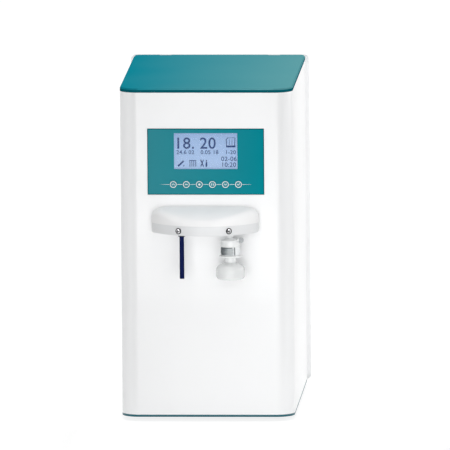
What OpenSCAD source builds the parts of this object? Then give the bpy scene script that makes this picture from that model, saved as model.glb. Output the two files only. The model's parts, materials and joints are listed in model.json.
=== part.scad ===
// Bench-top ultrapure water system: a tall white housing with a hinged lid, a membrane control
// panel, a dispensing head with a final filter capsule, and the water train inside.
// Millimetres. X runs to the right as seen from the front, the front faces -Y, and Z points up.

/* [Housing] */
// Width of the housing across its side walls
body_w = 300; // [296:1:312]
// Depth from the front wall to the back of the rear panel
body_d = 450; // [440:1:480]
// Height of the wrapped shell between the base plate and the lid
shell_h = 563; // [550:1:600]
// Thickness of the shell wall
wall_t = 1.5; // [1.5:0.5:2.5]
// Radius of the two upright front corners
front_r = 32; // [24:1:38]
// Radius of the two upright rear corners
rear_r = 18; // [14:1:22]
// Thickness of the base plate
base_t = 4; // [3:1:6]
// Height of the rubber feet
foot_h = 8; // [6:1:12]
// Radius of a rubber foot at the floor
foot_r = 14; // [12:1:16]
// How far the rear panel stands out past each side wall
panel_over = 6; // [3:1:8]

/* [Lid] */
// Thickness of the lid plate
lid_t = 7; // [7:1:9]
// Radius of the rounded top edge of the lid
lid_edge_r = 2; // [1:0.5:3]
// Distance of each hinge from the middle of the lid
hinge_x = 95; // [70:1:100]

/* [Control panel] */
// Width of the membrane panel
panel_w = 202; // [196:1:206]
// Height of the membrane panel
panel_h = 115; // [112:1:120]
// Distance from the lid down to the top of the membrane panel
panel_drop = 62.7; // [55:0.1:75]
// Width of the display window
window_w = 110; // [100:1:116]
// Height of the display window
window_h = 63; // [56:1:66]
// Distance between the centres of two neighbouring keys
key_pitch = 22.6; // [21:0.1:24]
// Radius of a key
key_r = 6.2; // [5.5:0.1:6.6]
// Travel of a key
key_travel = 0.6; // [0.4:0.1:0.8]

/* [Dispensing head] */
// Width of the dispensing head
head_w = 185; // [175:1:195]
// How far the head stands out in front of the housing
head_reach = 68; // [64:1:74]
// Depth of the flat cheeks at the two ends of the head
head_cheek = 14; // [10:1:18]
// Radius of the two front corners of the head
head_corner_r = 7; // [4:1:9]
// Place of the head's middle across the front
head_x = -1.2; // [-6:0.2:6]
// Distance from the lid down to the underside of the head
head_drop = 241.5; // [230:0.5:246]
// Height of the head at the wall
head_h = 44; // [40:1:50]
// Height of the screwed tray that closes the head from below
tray_h = 17; // [15:1:18]
// Distance of the tube and of the filter from the middle between them
outlet_x = 42; // [38:1:48]
// Place of the middle between the tube and the filter
outlet_mid = 1.8; // [-4:0.2:4]
// Distance of the tube and of the filter in front of the housing
outlet_y = 40; // [36:1:42]
// Outer diameter of the outlet tube
tube_d = 8; // [7:0.5:9]
// Length of outlet tube that hangs below the head
tube_len = 74; // [60:1:90]

/* [Filter capsule] */
// Radius of the capsule body
capsule_r = 16.6; // [15:0.1:17]
// Radius of the flange below the grey collar
flange_r = 19; // [18:0.5:20]
// Largest radius of the bell
bell_r = 24.8; // [23:0.1:26]
// Wall thickness of the bell
bell_t = 1.6; // [1.2:0.1:2]

/* [Water train] */
// Radius of a cartridge body
cartridge_r = 38; // [34:1:39]
// Length of a cartridge body between its caps
cartridge_h = 330; // [300:5:350]
// Radius of the lamp chamber
uv_r = 26; // [22:1:30]
// Radius of a membrane housing
membrane_r = 31; // [28:1:32]
// Outer diameter of the inner tubing
hose_d = 8; // [6:0.5:9]

/* [Hidden] */
$fn = 96;

// Heights
base_z = foot_h;
shell_z = base_z + base_t;
lid_z = shell_z + shell_h;
top_z = lid_z + lid_t;

// Depths. The whole object is centred front to back, with the head and the rear ports counted.
port_reach = 22;
total_d = head_reach + body_d + port_reach;
front_y = head_reach - total_d / 2;
back_y = front_y + body_d;
rear_t = 2;
shell_back_y = back_y - rear_t;
inner_front_y = front_y + wall_t;
inner_back_y = shell_back_y - wall_t;
half_w = body_w / 2;

// Lid hinge: its axis lies half way up the lid plate, just in front of the rear panel.
hinge_knuckle_r = 3.2;
hinge_gap = 0.8;
hinge_y = shell_back_y - hinge_gap - hinge_knuckle_r;
hinge_z = lid_z + lid_t / 2;
hinge_ear_w = 20;
hinge_side_gap = 0.5;
hinge_pin_r = 1.5;
hinge_pin_l = 44;
running_gap = 0.05;

// Control panel
panel_t = 2;
panel_recess = 1.2;
panel_proud = panel_t - panel_recess;
panel_top_z = lid_z - panel_drop;
panel_z = panel_top_z - panel_h / 2;
panel_face_y = front_y - panel_proud;
window_top_z = lid_z - 70.4;
window_z = window_top_z - window_h / 2;
key_z = lid_z - 160;
key_hole_gap = 0.4;
key_t = 5.2;
key_proud = 0.9;
key_count = 6;
board_y = front_y + 17;
board_w = 200;
board_h = 112;
board_t = 1.6;
lcd_w = 118;
lcd_h = 68;
opening_margin_x = 8;
opening_margin_z = 5;

// Dispensing head
head_z = lid_z - head_drop;
head_arc_sag = head_reach - head_cheek;
head_arc_r = (pow(head_w / 2, 2) + pow(head_arc_sag, 2)) / (2 * head_arc_sag);
head_arc_y = front_y - head_reach + head_arc_r;
head_screw_x = 43.5;
head_screw_rise = 8;
head_wall = 3;
head_boss_x = [-70, -16, 16, 70];
crown_flat = 55;
crown_r = 90;
slope_fall = 22;
slope_r = (pow(head_reach, 2) + pow(slope_fall, 2)) / (2 * slope_fall);
tray_inset = 0.6;
outlet_py = front_y - outlet_y;
tube_x = outlet_mid - outlet_x;
capsule_x = outlet_mid + outlet_x;
connector_drop = 3.5;
adapter_drop = 3;
line_rise = 23;
elbow_front = 5.5;
elbow_len = 21.5;
line_bore_r = 2.4;
elbow_bore_r = 2;

// Capsule levels, as distances below the underside of the lid
function below(d) = lid_z - d;
shoulder_z = below(251.5);
collar_top_z = below(262.5);
collar_low_z = below(276.5);
flange_top_z = below(278);
flange_low_z = below(281);
bell_low_z = below(319.7);
bell_side_h = 15.8;
bell_slope = 29;
bell_neck_r = 10.1;
neck_r = 9.9;
neck_low_z = below(295.8);
nozzle_low_z = below(301);
vent_z = shoulder_z + 0.7;
vent_turn = -20;
vent_r = 4.35;
vent_boss = 0.9;
vent_start = capsule_r + vent_boss + 0.3;
vent_len = 5.6;

// Water train
chassis_y = front_y + 265;
chassis_t = 2;
chassis_w = 284;
chassis_h = 420;
row_x = 92;
back_row_y = chassis_y - chassis_t - cartridge_r - 8;
front_row_y = front_y + 112;
cap_r = cartridge_r + 1.5;
cap_h = 24;
cartridge_z = shell_z + 8;
cartridge_top_z = cartridge_z + cartridge_h + 2 * cap_h;
shelf_z = [shell_z + 80, shell_z + 310];
shelf_t = 2;
shelf_front_y = front_y + 62;
shelf_gap = 0.5;
uv_z = shell_z + 30;
uv_h = 300;
membrane_x = [-104, -32];
membrane_y = chassis_y + 48;
membrane_z = shell_z + 8;
membrane_h = 300;
elbow_h = 16;

// Rear panel
rear_w = body_w + 2 * panel_over;
rear_corner_r = 8;
port_z = shell_z + 66;
port_x = [-104, -62, -20];
port_r = 3.2;
inlet_x = 92;
inlet_z = shell_z + 150;
switch_x = 92;
switch_z = inlet_z + 52;
rocker_turn = 10;

// ---------- shared forms ----------

// Plan of the housing: a box with larger front corners and smaller rear ones, drawn at an inset
module housing_plan(inset = 0, y_back = shell_back_y) {
    w = half_w - inset;
    rf = front_r - inset;
    rb = rear_r - inset;
    yf = front_y + inset;
    yb = y_back - inset;
    polygon([
        [-w, yf + rf], [rf - w, yf], [w - rf, yf], [w, yf + rf],
        [w, yb - rb], [w - rb, yb], [rb - w, yb], [-w, yb - rb]
    ]);
    for (s = [-1, 1]) {
        translate([s * (w - rf), yf + rf]) circle(r = rf);
        translate([s * (w - rb), yb - rb]) circle(r = rb);
    }
}

// Slot with round ends, along X
module slot(length, width) {
    square([length - width, width], center = true);
    for (s = [-1, 1]) translate([s * (length - width) / 2, 0]) circle(d = width);
}

// Rectangle with round corners, about the origin
module round_rect(w, h, r) {
    square([w - 2 * r, h], center = true);
    square([w, h - 2 * r], center = true);
    for (sx = [-1, 1], sy = [-1, 1]) translate([sx * (w / 2 - r), sy * (h / 2 - r)]) circle(r = r);
}

// Pan-head screw along +Z with its head on top: the head starts at z = 0 and the shank hangs below
module pan_screw(r, length, head_r, head_h) {
    translate([0, 0, -length]) cylinder(r = r, h = length);
    difference() {
        intersection() {
            cylinder(r = head_r, h = head_h);
            translate([0, 0, head_h - 2 * head_r]) sphere(r = 2 * head_r);
        }
        cross_recess(head_r, head_h);
    }
}

// Cross recess in the top of a screw head
module cross_recess(head_r, head_h) {
    for (a = [0, 90]) rotate([0, 0, a])
        translate([-head_r * 0.55, -head_r * 0.11, head_h * 0.45])
            cube([head_r * 1.1, head_r * 0.22, head_h]);
}

// Plate standing in the XZ plane: its 2D outline is drawn in X and Z, and it grows towards +Y
module upright(y, t) {
    translate([0, y + t, 0]) rotate([90, 0, 0]) linear_extrude(t) children();
}

// ---------- hoses ----------

function unit(v) = v / norm(v);
function lerp(a, b, t) = a + (b - a) * t;

// Points of a route whose corners are rounded to radius r, with steps points on each round
function bend_points(p, r, steps) = [
    p[0],
    for (i = [1 : len(p) - 2])
        let (
            a = unit(p[i - 1] - p[i]),
            b = unit(p[i + 1] - p[i]),
            half = acos(a * b) / 2,
            centre = p[i] + unit(a + b) * r / sin(half),
            start = p[i] + a * r / tan(half),
            end = p[i] + b * r / tan(half)
        )
        for (k = [0 : steps])
            let (m = lerp(start, end, k / steps)) centre + unit(m - centre) * r,
    p[len(p) - 1]
];

// Direction of the path at point i
function heading(p, i) =
    i == 0 ? unit(p[1] - p[0]) :
    i == len(p) - 1 ? unit(p[i] - p[i - 1]) :
    unit(unit(p[i + 1] - p[i]) + unit(p[i] - p[i - 1]));

// Side vectors carried along the path with the least twist
function sides_along(p, i, v) = i == len(p) ? [] :
    let (
        h = heading(p, i),
        flat = v - (v * h) * h,
        s = unit(flat)
    )
    concat([s], sides_along(p, i + 1, s));

// Hose along a route, with round bends, as one closed skin of triangles
module hose(route, d = hose_d, bend = 16, steps = 3, faces = 8) {
    p = bend_points(route, bend, steps);
    h0 = heading(p, 0);
    guess = abs(h0[2]) < 0.9 ? [0, 0, 1] : [1, 0, 0];
    s = sides_along(p, 0, guess);
    n = len(p);
    ring = [
        for (i = [0 : n - 1])
            let (h = heading(p, i), u = s[i], w = cross(h, u))
            for (k = [0 : faces - 1])
                p[i] + d / 2 * (cos(360 * k / faces) * u + sin(360 * k / faces) * w)
    ];
    walls = [
        for (i = [0 : n - 2], k = [0 : faces - 1])
            let (a = i * faces + k, b = i * faces + (k + 1) % faces)
            each [[a, a + faces, b], [b, a + faces, b + faces]]
    ];
    low = n * faces;
    ends = [
        for (k = [0 : faces - 1])
            each [[low, k, (k + 1) % faces],
                  [low + 1, (n - 1) * faces + (k + 1) % faces, (n - 1) * faces + k]]
    ];
    polyhedron(points = concat(ring, [p[0], p[n - 1]]), faces = concat(walls, ends));
}

// ---------- housing ----------

foot_x = half_w - 34;
foot_front_y = front_y + 80;
foot_back_y = back_y - 50;
foot_places = [
    [-foot_x, foot_front_y], [foot_x, foot_front_y], [-foot_x, foot_back_y], [foot_x, foot_back_y]
];
foot_screw_r = 2;
base_screw_x = half_w - 12;
base_screw_places = [
    for (sx = [-1, 1], y = [front_y + 60, front_y + 225, back_y - 60]) [sx * base_screw_x, y]
];
base_screw_r = 1.6;
sink_r = 3.4;
sink_depth = 2;
flange_w = 22;

module base_plate() {
    color([0.09, 0.42, 0.47])
    translate([0, 0, base_z]) difference() {
        linear_extrude(base_t) difference() {
            housing_plan();
            for (p = foot_places) translate(p) circle(r = foot_screw_r + 0.1);
            for (p = base_screw_places) translate(p) circle(r = base_screw_r + 0.1);
            for (i = [-4 : 4]) translate([i * 12, front_y + 330]) rotate(90) slot(50, 4);
        }
        for (p = base_screw_places) translate([p[0], p[1], -1]) cylinder(r = sink_r, h = sink_depth + 1);
    }
}

module feet() {
    color([0.12, 0.12, 0.13])
    for (p = foot_places) translate([p[0], p[1], 0]) difference() {
        cylinder(r1 = foot_r, r2 = foot_r - 2, h = foot_h);
        translate([0, 0, -1]) cylinder(r = 5, h = 5);
        cylinder(r = foot_screw_r + 0.1, h = foot_h + 1);
    }
}

module foot_screws() {
    color([0.7, 0.71, 0.73])
    for (p = foot_places) translate([p[0], p[1], 4]) mirror([0, 0, 1])
        pan_screw(foot_screw_r, foot_h + base_t - 4, 4, 2.4);
}

module base_screws() {
    color([0.7, 0.71, 0.73])
    for (p = base_screw_places) translate([p[0], p[1], base_z + sink_depth]) mirror([0, 0, 1])
        pan_screw(base_screw_r, base_t - sink_depth + wall_t, 3, 1.8);
}

module housing_shell() {
    color([0.95, 0.96, 0.96])
    difference() {
        translate([0, 0, shell_z]) union() {
            linear_extrude(shell_h) difference() {
                housing_plan();
                housing_plan(wall_t);
            }
            // Return flange that the base plate is screwed to
            linear_extrude(wall_t) difference() {
                housing_plan(wall_t / 2);
                translate([0, (front_y + shell_back_y) / 2])
                    round_rect(body_w - 2 * flange_w, shell_back_y - front_y - 2 * flange_w, 8);
            }
        }
        for (p = base_screw_places) translate([p[0], p[1], shell_z - 1])
            cylinder(r = base_screw_r + 0.1, h = wall_t + 2);
        // Seat and window for the control panel
        upright(front_y - 1, 1 + panel_recess) translate([0, panel_z])
            square([panel_w + 0.6, panel_h + 0.6], center = true);
        upright(front_y - 1, wall_t + 2) translate([0, panel_z])
            square([panel_w - 2 * opening_margin_x, panel_h - 2 * opening_margin_z], center = true);
        // Holes for the head: two water lines and four fixing screws
        for (x = [tube_x, capsule_x]) upright(front_y - 1, wall_t + 2)
            translate([x, head_z + line_rise]) circle(r = 5);
        for (x = head_boss_x) upright(front_y - 1, wall_t + 2) translate([x, head_z + 24]) circle(r = 2.1);
        // Service opening behind the rear panel
        upright(inner_back_y - 1, wall_t + 2) translate([0, shell_z + shell_h / 2])
            round_rect(2 * half_w - 64, shell_h - 70, 8);
        // Screw holes for the rear panel and the hinges
        for (p = rear_screw_places) upright(inner_back_y - 1, wall_t + 2) translate(p)
            circle(r = rear_screw_r + 0.1);
    }
}

// ---------- lid ----------

// The plate with its rounded top edge, before the hinge end is shaped
module lid_blank() {
    w = half_w;
    yb = hinge_y + lid_t;
    r = lid_edge_r;
    straight = lid_t - r;
    translate([0, 0, lid_z]) {
        linear_extrude(straight) housing_plan(0, yb);
        linear_extrude(lid_t) housing_plan(r, yb);
        for (s = [-1, 1]) {
            translate([s * (w - front_r), front_y + front_r, straight])
                rotate_extrude() translate([front_r - r, 0]) circle(r = r);
            translate([s * (w - r), front_y + front_r, straight])
                rotate([-90, 0, 0]) cylinder(r = r, h = hinge_y - front_y - front_r);
        }
        translate([front_r - w, front_y + r, straight])
            rotate([0, 90, 0]) cylinder(r = r, h = 2 * (w - front_r));
    }
}

module lid() {
    lip_y = hinge_y - 30;
    lip_gap = 0.8;
    lip_t = 2;
    lip_drop = 4;
    color([0.06, 0.55, 0.60])
    difference() {
        union() {
            intersection() {
                lid_blank();
                union() {
                    translate([-half_w - 1, front_y - 1, lid_z - 1])
                        cube([body_w + 2, hinge_y - front_y + 1, lid_t + 2]);
                    translate([-half_w - 1, hinge_y, hinge_z])
                        rotate([0, 90, 0]) cylinder(r = hinge_knuckle_r, h = body_w + 2);
                }
            }
            // Locating lip that drops inside the shell
            translate([0, 0, lid_z - lip_drop]) intersection() {
                linear_extrude(lip_drop + 1) difference() {
                    housing_plan(wall_t + lip_gap);
                    housing_plan(wall_t + lip_gap + lip_t);
                }
                translate([-half_w, front_y, -1]) cube([body_w, lip_y - front_y, lip_drop + 3]);
            }
        }
        for (s = [-1, 1]) translate([s * hinge_x, hinge_y, hinge_z]) {
            notch_w = hinge_ear_w + 2 * hinge_side_gap;
            translate([-notch_w / 2, -hinge_knuckle_r - hinge_side_gap, -lid_t])
                cube([notch_w, 2 * lid_t, 2 * lid_t]);
            rotate([0, 90, 0]) cylinder(r = hinge_pin_r + running_gap, h = hinge_pin_l + 1, center = true);
        }
    }
}

module hinge_brackets() {
    leaf_h = 30;
    leaf_t = 4.4;
    color([0.75, 0.76, 0.78])
    for (s = [-1, 1]) translate([s * hinge_x, 0, 0]) difference() {
        union() {
            translate([-hinge_ear_w / 2, hinge_y, hinge_z])
                rotate([0, 90, 0]) cylinder(r = hinge_knuckle_r, h = hinge_ear_w);
            translate([-hinge_ear_w / 2, inner_back_y - leaf_t, lid_z - leaf_h])
                cube([hinge_ear_w, leaf_t, leaf_h + lid_t / 2]);
        }
        translate([0, hinge_y, hinge_z]) rotate([0, 90, 0])
            cylinder(r = hinge_pin_r, h = hinge_ear_w + 2, center = true);
    }
}

module hinge_pins() {
    color([0.8, 0.81, 0.83])
    for (s = [-1, 1]) translate([s * hinge_x, hinge_y, hinge_z])
        rotate([0, 90, 0]) cylinder(r = hinge_pin_r, h = hinge_pin_l, center = true);
}

// ---------- rear panel ----------

rear_screw_r = 1.6;
rear_screw_x = half_w - 22;
rear_screw_places = [
    for (sx = [-1, 1], h = [24, shell_h * 0.35, shell_h * 0.65, shell_h - 24])
        [sx * rear_screw_x, shell_z + h]
];
louvre_rows = 9;
louvre_pitch = 11;
louvre_z = shell_z + shell_h - 170;

module rear_panel() {
    color([0.94, 0.95, 0.95])
    difference() {
        upright(shell_back_y, rear_t) translate([0, (base_z + top_z) / 2])
            round_rect(rear_w, top_z - base_z, rear_corner_r);
        upright(shell_back_y - 1, rear_t + 2) {
            for (p = rear_screw_places) translate(p) circle(r = rear_screw_r + 0.1);
            for (x = port_x) translate([x, port_z]) circle(r = 8.2);
            translate([inlet_x, inlet_z]) round_rect(28.4, 20.4, 2);
            for (s = [-1, 1]) translate([inlet_x + s * 20, inlet_z]) circle(r = 1.7);
            translate([switch_x, switch_z]) square([13.4, 19.6], center = true);
            for (s = [-1, 1], i = [0 : louvre_rows - 1])
                translate([s * 62, louvre_z + i * louvre_pitch]) slot(84, 4);
        }
    }
    // Hood over each slot, pressed outwards from the sheet
    color([0.94, 0.95, 0.95])
    for (s = [-1, 1], i = [0 : louvre_rows - 1])
        translate([s * 62, back_y, louvre_z + i * louvre_pitch + 2.2]) intersection() {
            rotate([0, 90, 0]) difference() {
                cylinder(r = 4.2, h = 84, center = true);
                cylinder(r = 3.2, h = 82, center = true);
            }
            translate([-42, 0, 0]) cube([84, 6, 6]);
        }
}

module rear_panel_screws() {
    color([0.7, 0.71, 0.73])
    for (p = rear_screw_places) translate([p[0], back_y, p[1]]) rotate([-90, 0, 0])
        pan_screw(rear_screw_r, rear_t + wall_t + 3, 3, 1.9);
}

module rear_ports() {
    color([0.93, 0.93, 0.92])
    for (x = port_x) translate([x, back_y, port_z]) rotate([-90, 0, 0]) difference() {
        union() {
            cylinder(r = 11, h = 6, $fn = 6);
            translate([0, 0, 6]) cylinder(r = 8.6, h = 10);
            translate([0, 0, 16]) cylinder(r = 7.4, h = 2);
            translate([0, 0, 18]) cylinder(r = 8.2, h = port_reach - 18);
            translate([0, 0, -26]) cylinder(r = 8, h = 26);
        }
        translate([0, 0, port_reach - 18]) cylinder(r = port_r, h = 19);
        translate([0, 0, -27]) cylinder(r = 2.2, h = 60);
    }
}

module port_nuts() {
    color([0.93, 0.93, 0.92])
    for (x = port_x) translate([x, shell_back_y - 6, port_z]) rotate([-90, 0, 0]) difference() {
        cylinder(r = 12, h = 6, $fn = 6);
        translate([0, 0, -1]) cylinder(r = 8.05, h = 8);
    }
}

module power_inlet() {
    color([0.08, 0.08, 0.09])
    difference() {
        union() {
            upright(back_y, 3) translate([inlet_x, inlet_z]) round_rect(50, 24, 4);
            upright(back_y - 22, 22) translate([inlet_x, inlet_z]) round_rect(27.8, 19.8, 1.6);
        }
        upright(back_y - 16, 20) translate([inlet_x, inlet_z]) difference() {
            square([24.2, 16.4], center = true);
            for (s = [-1, 1]) translate([s * 12.1, 8.2]) rotate(45) square(6.4, center = true);
        }
        for (s = [-1, 1]) upright(back_y - 1, 5) translate([inlet_x + s * 20, inlet_z]) circle(r = 1.7);
    }
    color([0.8, 0.78, 0.7])
    for (x = [-7, 0, 7]) upright(back_y - 18, 16) translate([inlet_x + x, inlet_z + (x == 0 ? 2 : -2)])
        square([2, 4], center = true);
}

module switch_frame() {
    color([0.08, 0.08, 0.09])
    difference() {
        union() {
            upright(back_y, 1.6) translate([switch_x, switch_z]) round_rect(15.4, 21.6, 1.2);
            upright(back_y - 20, 20) translate([switch_x, switch_z]) square([13, 19.2], center = true);
        }
        upright(back_y - 12, 15) translate([switch_x, switch_z]) square([10.4, 16.6], center = true);
        translate([switch_x, back_y - 3, switch_z]) rotate([0, 90, 0])
            cylinder(r = 1.25, h = 12.2, center = true);
    }
}

module power_rocker() {
    color([0.75, 0.08, 0.07])
    translate([switch_x, back_y - 3, switch_z]) rotate([rocker_turn, 0, 0]) {
        rotate([0, 90, 0]) cylinder(r = 1.2, h = 12, center = true);
        rotate([90, 0, 90]) linear_extrude(9.6, center = true) difference() {
            polygon([[-4, -6.5], [-4, 6.5], [3.6, 7.4], [1.8, 0], [3.6, -7.4]]);
            translate([30.2, 0]) circle(r = 28);
        }
    }
}

// ---------- control panel ----------

module control_panel() {
    color([0.02, 0.50, 0.55])
    difference() {
        upright(panel_face_y, panel_t) translate([0, panel_z]) square([panel_w, panel_h], center = true);
        upright(panel_face_y - 1, panel_t + 2) {
            translate([0, window_z]) square([window_w, window_h], center = true);
            for (i = [1 : key_count]) translate([key_x(i), key_z]) circle(r = key_r + key_hole_gap);
        }
    }
}

function key_x(i) = (i - (key_count + 1) / 2) * key_pitch;

module display_window() {
    color([0.75, 0.80, 0.92, 0.5])
    upright(panel_face_y + 0.4, panel_t - 0.4) translate([0, window_z])
        square([window_w, window_h], center = true);
}

module lcd_module() {
    lcd_y = panel_face_y + panel_t + 0.4;
    color([0.62, 0.68, 0.86])
    difference() {
        upright(lcd_y, board_y - lcd_y) translate([0, window_z]) square([lcd_w, lcd_h], center = true);
        upright(lcd_y - 1, 2) translate([0, window_z]) square([window_w + 1, window_h + 1], center = true);
    }
}

board_post_x = board_w / 2 - 3.5;
board_post_z = board_h / 2 - 3.5;

module control_board() {
    color([0.05, 0.32, 0.16])
    upright(board_y, board_t) translate([0, panel_z]) difference() {
        square([board_w, board_h], center = true);
        for (sx = [-1, 1], sz = [-1, 1]) translate([sx * board_post_x, sz * board_post_z]) circle(r = 1.6);
    }
    color([0.12, 0.12, 0.13]) {
        upright(board_y + board_t, 8) translate([-60, panel_z - 20]) square([40, 12], center = true);
        upright(board_y + board_t, 3) translate([10, panel_z + 5]) square([22, 22], center = true);
        upright(board_y + board_t, 10) translate([62, panel_z + 30]) square([30, 14], center = true);
    }
}

module board_posts() {
    color([0.78, 0.72, 0.45])
    for (sx = [-1, 1], sz = [-1, 1])
        upright(inner_front_y, board_y - inner_front_y)
            translate([sx * board_post_x, panel_z + sz * board_post_z]) circle(r = 3);
}

module key_switches() {
    body_t = 4;
    color([0.10, 0.10, 0.11])
    for (i = [1 : key_count]) {
        upright(board_y - body_t, body_t) translate([key_x(i), key_z]) square([7, 7], center = true);
        upright(key_back_y + key_travel + 0.2, board_y - body_t - key_back_y - key_travel - 0.2)
            translate([key_x(i), key_z]) circle(r = 1.8);
    }
}

key_face_y = panel_face_y - key_proud;
key_back_y = key_face_y + key_t;

// A round key with a raised rim, a shallow dish, and a rear collar that keeps it behind the panel
module round_key(i) {
    rim_w = 1.3;
    dish = 0.4;
    collar_start = key_proud + panel_t + 0.2;
    color([0.02, 0.46, 0.51])
    translate([key_x(i), key_face_y, key_z]) rotate([-90, 0, 0]) difference() {
        union() {
            cylinder(r = key_r, h = collar_start);
            translate([0, 0, collar_start]) cylinder(r = key_r + 1.4, h = 1);
            translate([0, 0, collar_start]) cylinder(r = 4, h = key_t - collar_start);
        }
        translate([0, 0, -1]) cylinder(r = key_r - rim_w, h = 1 + dish);
    }
}

module key_1() { round_key(1); }
module key_2() { round_key(2); }
module key_3() { round_key(3); }
module key_4() { round_key(4); }
module key_5() { round_key(5); }
module key_6() { round_key(6); }

// ---------- dispensing head ----------

// D-shaped plan: flat cheeks at the ends, one long arc in front and a round corner between them
module head_plan(inset = 0) {
    r = head_arc_r - inset;
    w = head_w / 2 - inset;
    c = head_corner_r;
    corner_x = w - c;
    corner_y = head_arc_y - sqrt(pow(r - c, 2) - pow(corner_x, 2));
    arc_x = r * corner_x / (r - c);
    translate([head_x, 0]) {
        intersection() {
            translate([0, head_arc_y]) circle(r = r);
            translate([-arc_x, front_y - head_reach]) square([2 * arc_x, head_reach]);
        }
        translate([-w, corner_y]) square([2 * w, front_y - corner_y]);
        for (s = [-1, 1]) translate([s * corner_x, corner_y]) circle(r = c);
    }
}

// The head above its tray, at an inset from the outer skin: level in the middle, falling to the ends and front
module head_dome(inset = 0) {
    top_z = head_z + head_h;
    intersection() {
        translate([0, 0, head_z]) linear_extrude(head_h) head_plan(inset);
        translate([head_x, front_y + 1, 0]) rotate([90, 0, 0]) linear_extrude(head_reach + 2) {
            translate([-crown_flat, 0]) square([2 * crown_flat, top_z - inset]);
            for (s = [-1, 1]) translate([s * crown_flat, top_z - crown_r]) circle(r = crown_r - inset);
        }
        translate([0, front_y, top_z - slope_r])
            rotate([0, 90, 0]) cylinder(r = slope_r - inset, h = 2 * head_w, center = true);
    }
}

module dispensing_head() {
    low_z = head_z + tray_h;
    color([0.94, 0.95, 0.96])
    difference() {
        head_dome();
        translate([-head_w, front_y - 2 * head_reach, head_z - 1])
            cube([2 * head_w, 3 * head_reach, tray_h + 1]);
        // Hollow underside, with four screw bosses left standing at the wall
        difference() {
            intersection() {
                head_dome(head_wall);
                translate([-head_w, front_y - head_reach, head_z])
                    cube([2 * head_w, head_reach - head_wall, head_h]);
            }
            for (x = head_boss_x) translate([x - 6, front_y - 12, low_z]) cube([12, 12, head_h]);
        }
        for (x = [tube_x, capsule_x]) upright(front_y - 20, 21) translate([x, head_z + line_rise])
            circle(r = 4.6);
        for (x = head_boss_x) upright(front_y - 9, 10) translate([x, head_z + 24]) circle(r = 1.9);
    }
}

module head_tray() {
    tray_floor = 3;
    color([0.90, 0.91, 0.92])
    difference() {
        translate([0, 0, head_z]) linear_extrude(tray_h) head_plan(tray_inset);
        translate([0, 0, head_z + tray_floor]) linear_extrude(tray_h) intersection() {
            head_plan(tray_inset + head_wall);
            translate([-head_w, front_y - head_reach]) square([2 * head_w, head_reach - head_wall]);
        }
        for (x = [tube_x, capsule_x]) translate([x, outlet_py, head_z - 1]) cylinder(r = 6.5, h = 10);
        for (s = [-1, 1]) head_screw_frame(s) translate([0, 0, -20]) cylinder(r = 1.9, h = 30);
    }
}

// Places a child on the curved front of the tray, with +Z pointing straight out of the surface
module head_screw_frame(side) {
    r = head_arc_r - tray_inset;
    a = asin(head_screw_x / r) * side;
    translate([head_x, head_arc_y, head_z + head_screw_rise])
        rotate([0, 0, a]) translate([0, -r, 0]) rotate([90, 0, 0]) children();
}

module head_screws() {
    color([0.78, 0.78, 0.80])
    for (s = [-1, 1]) head_screw_frame(s) translate([0, 0, 0.15]) {
        difference() {
            cylinder(r = 5.4, h = 0.9);
            translate([0, 0, -1]) cylinder(r = 1.9, h = 3);
        }
        translate([0, 0, 0.9]) pan_screw(1.8, 9, 3.9, 2.2);
    }
}

module head_mount_screws() {
    color([0.78, 0.78, 0.80])
    for (x = head_boss_x) translate([x, inner_front_y, head_z + 24]) rotate([-90, 0, 0])
        pan_screw(1.8, wall_t + 8, 3.5, 2);
}

// Socket in the tray with its elbow towards the wall; it stands out below the tray by a drop
module line_socket(drop) {
    difference() {
        union() {
            translate([0, 0, 3]) cylinder(r = 8, h = 10);
            translate([0, 0, -drop]) cylinder(r = 6.2, h = 3 + drop);
            translate([0, 0, 13]) cylinder(r = 4, h = line_rise - 13);
            translate([0, -elbow_front, line_rise]) rotate([-90, 0, 0]) cylinder(r = 4.5, h = elbow_len);
        }
        translate([0, 0, -drop - 1]) cylinder(r = line_bore_r, h = line_rise + drop + 1);
        translate([0, -1, line_rise]) rotate([-90, 0, 0]) cylinder(r = elbow_bore_r, h = elbow_len);
    }
}

module tube_connector() {
    color([0.10, 0.12, 0.20]) translate([tube_x, outlet_py, head_z]) line_socket(connector_drop);
}

// Levels of the rings of the hanging tube, below the connector
tube_route = [0, -15, -30, -45, -60, -tube_len];

module outlet_tube() {
    faces = 12;
    n = len(tube_route);
    r_out = tube_d / 2;
    r_in = r_out - 1.4;
    ring = [
        for (r = [r_out, r_in], z = tube_route, k = [0 : faces - 1])
            [r * cos(360 * k / faces), r * sin(360 * k / faces), z]
    ];
    shift = n * faces;
    outer = [
        for (i = [0 : n - 2], k = [0 : faces - 1])
            let (a = i * faces + k, b = i * faces + (k + 1) % faces)
            each [[a, b, a + faces], [b, b + faces, a + faces]]
    ];
    inner = [for (f = outer) [f[0] + shift, f[2] + shift, f[1] + shift]];
    rims = [
        for (k = [0 : faces - 1])
            let (k2 = (k + 1) % faces, e = (n - 1) * faces)
            each [[k, shift + k, k2], [k2, shift + k, shift + k2],
                  [e + k, e + k2, e + shift + k], [e + k2, e + shift + k2, e + shift + k]]
    ];
    color([0.02, 0.07, 0.30])
    translate([tube_x, outlet_py, head_z - connector_drop])
        polyhedron(points = ring, faces = concat(outer, inner, rims));
}

// ---------- final filter capsule ----------

module at_capsule() {
    translate([capsule_x, outlet_py, 0]) children();
}

module filter_adapter() {
    color([0.88, 0.89, 0.90]) at_capsule() translate([0, 0, head_z]) line_socket(adapter_drop);
}

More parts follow.
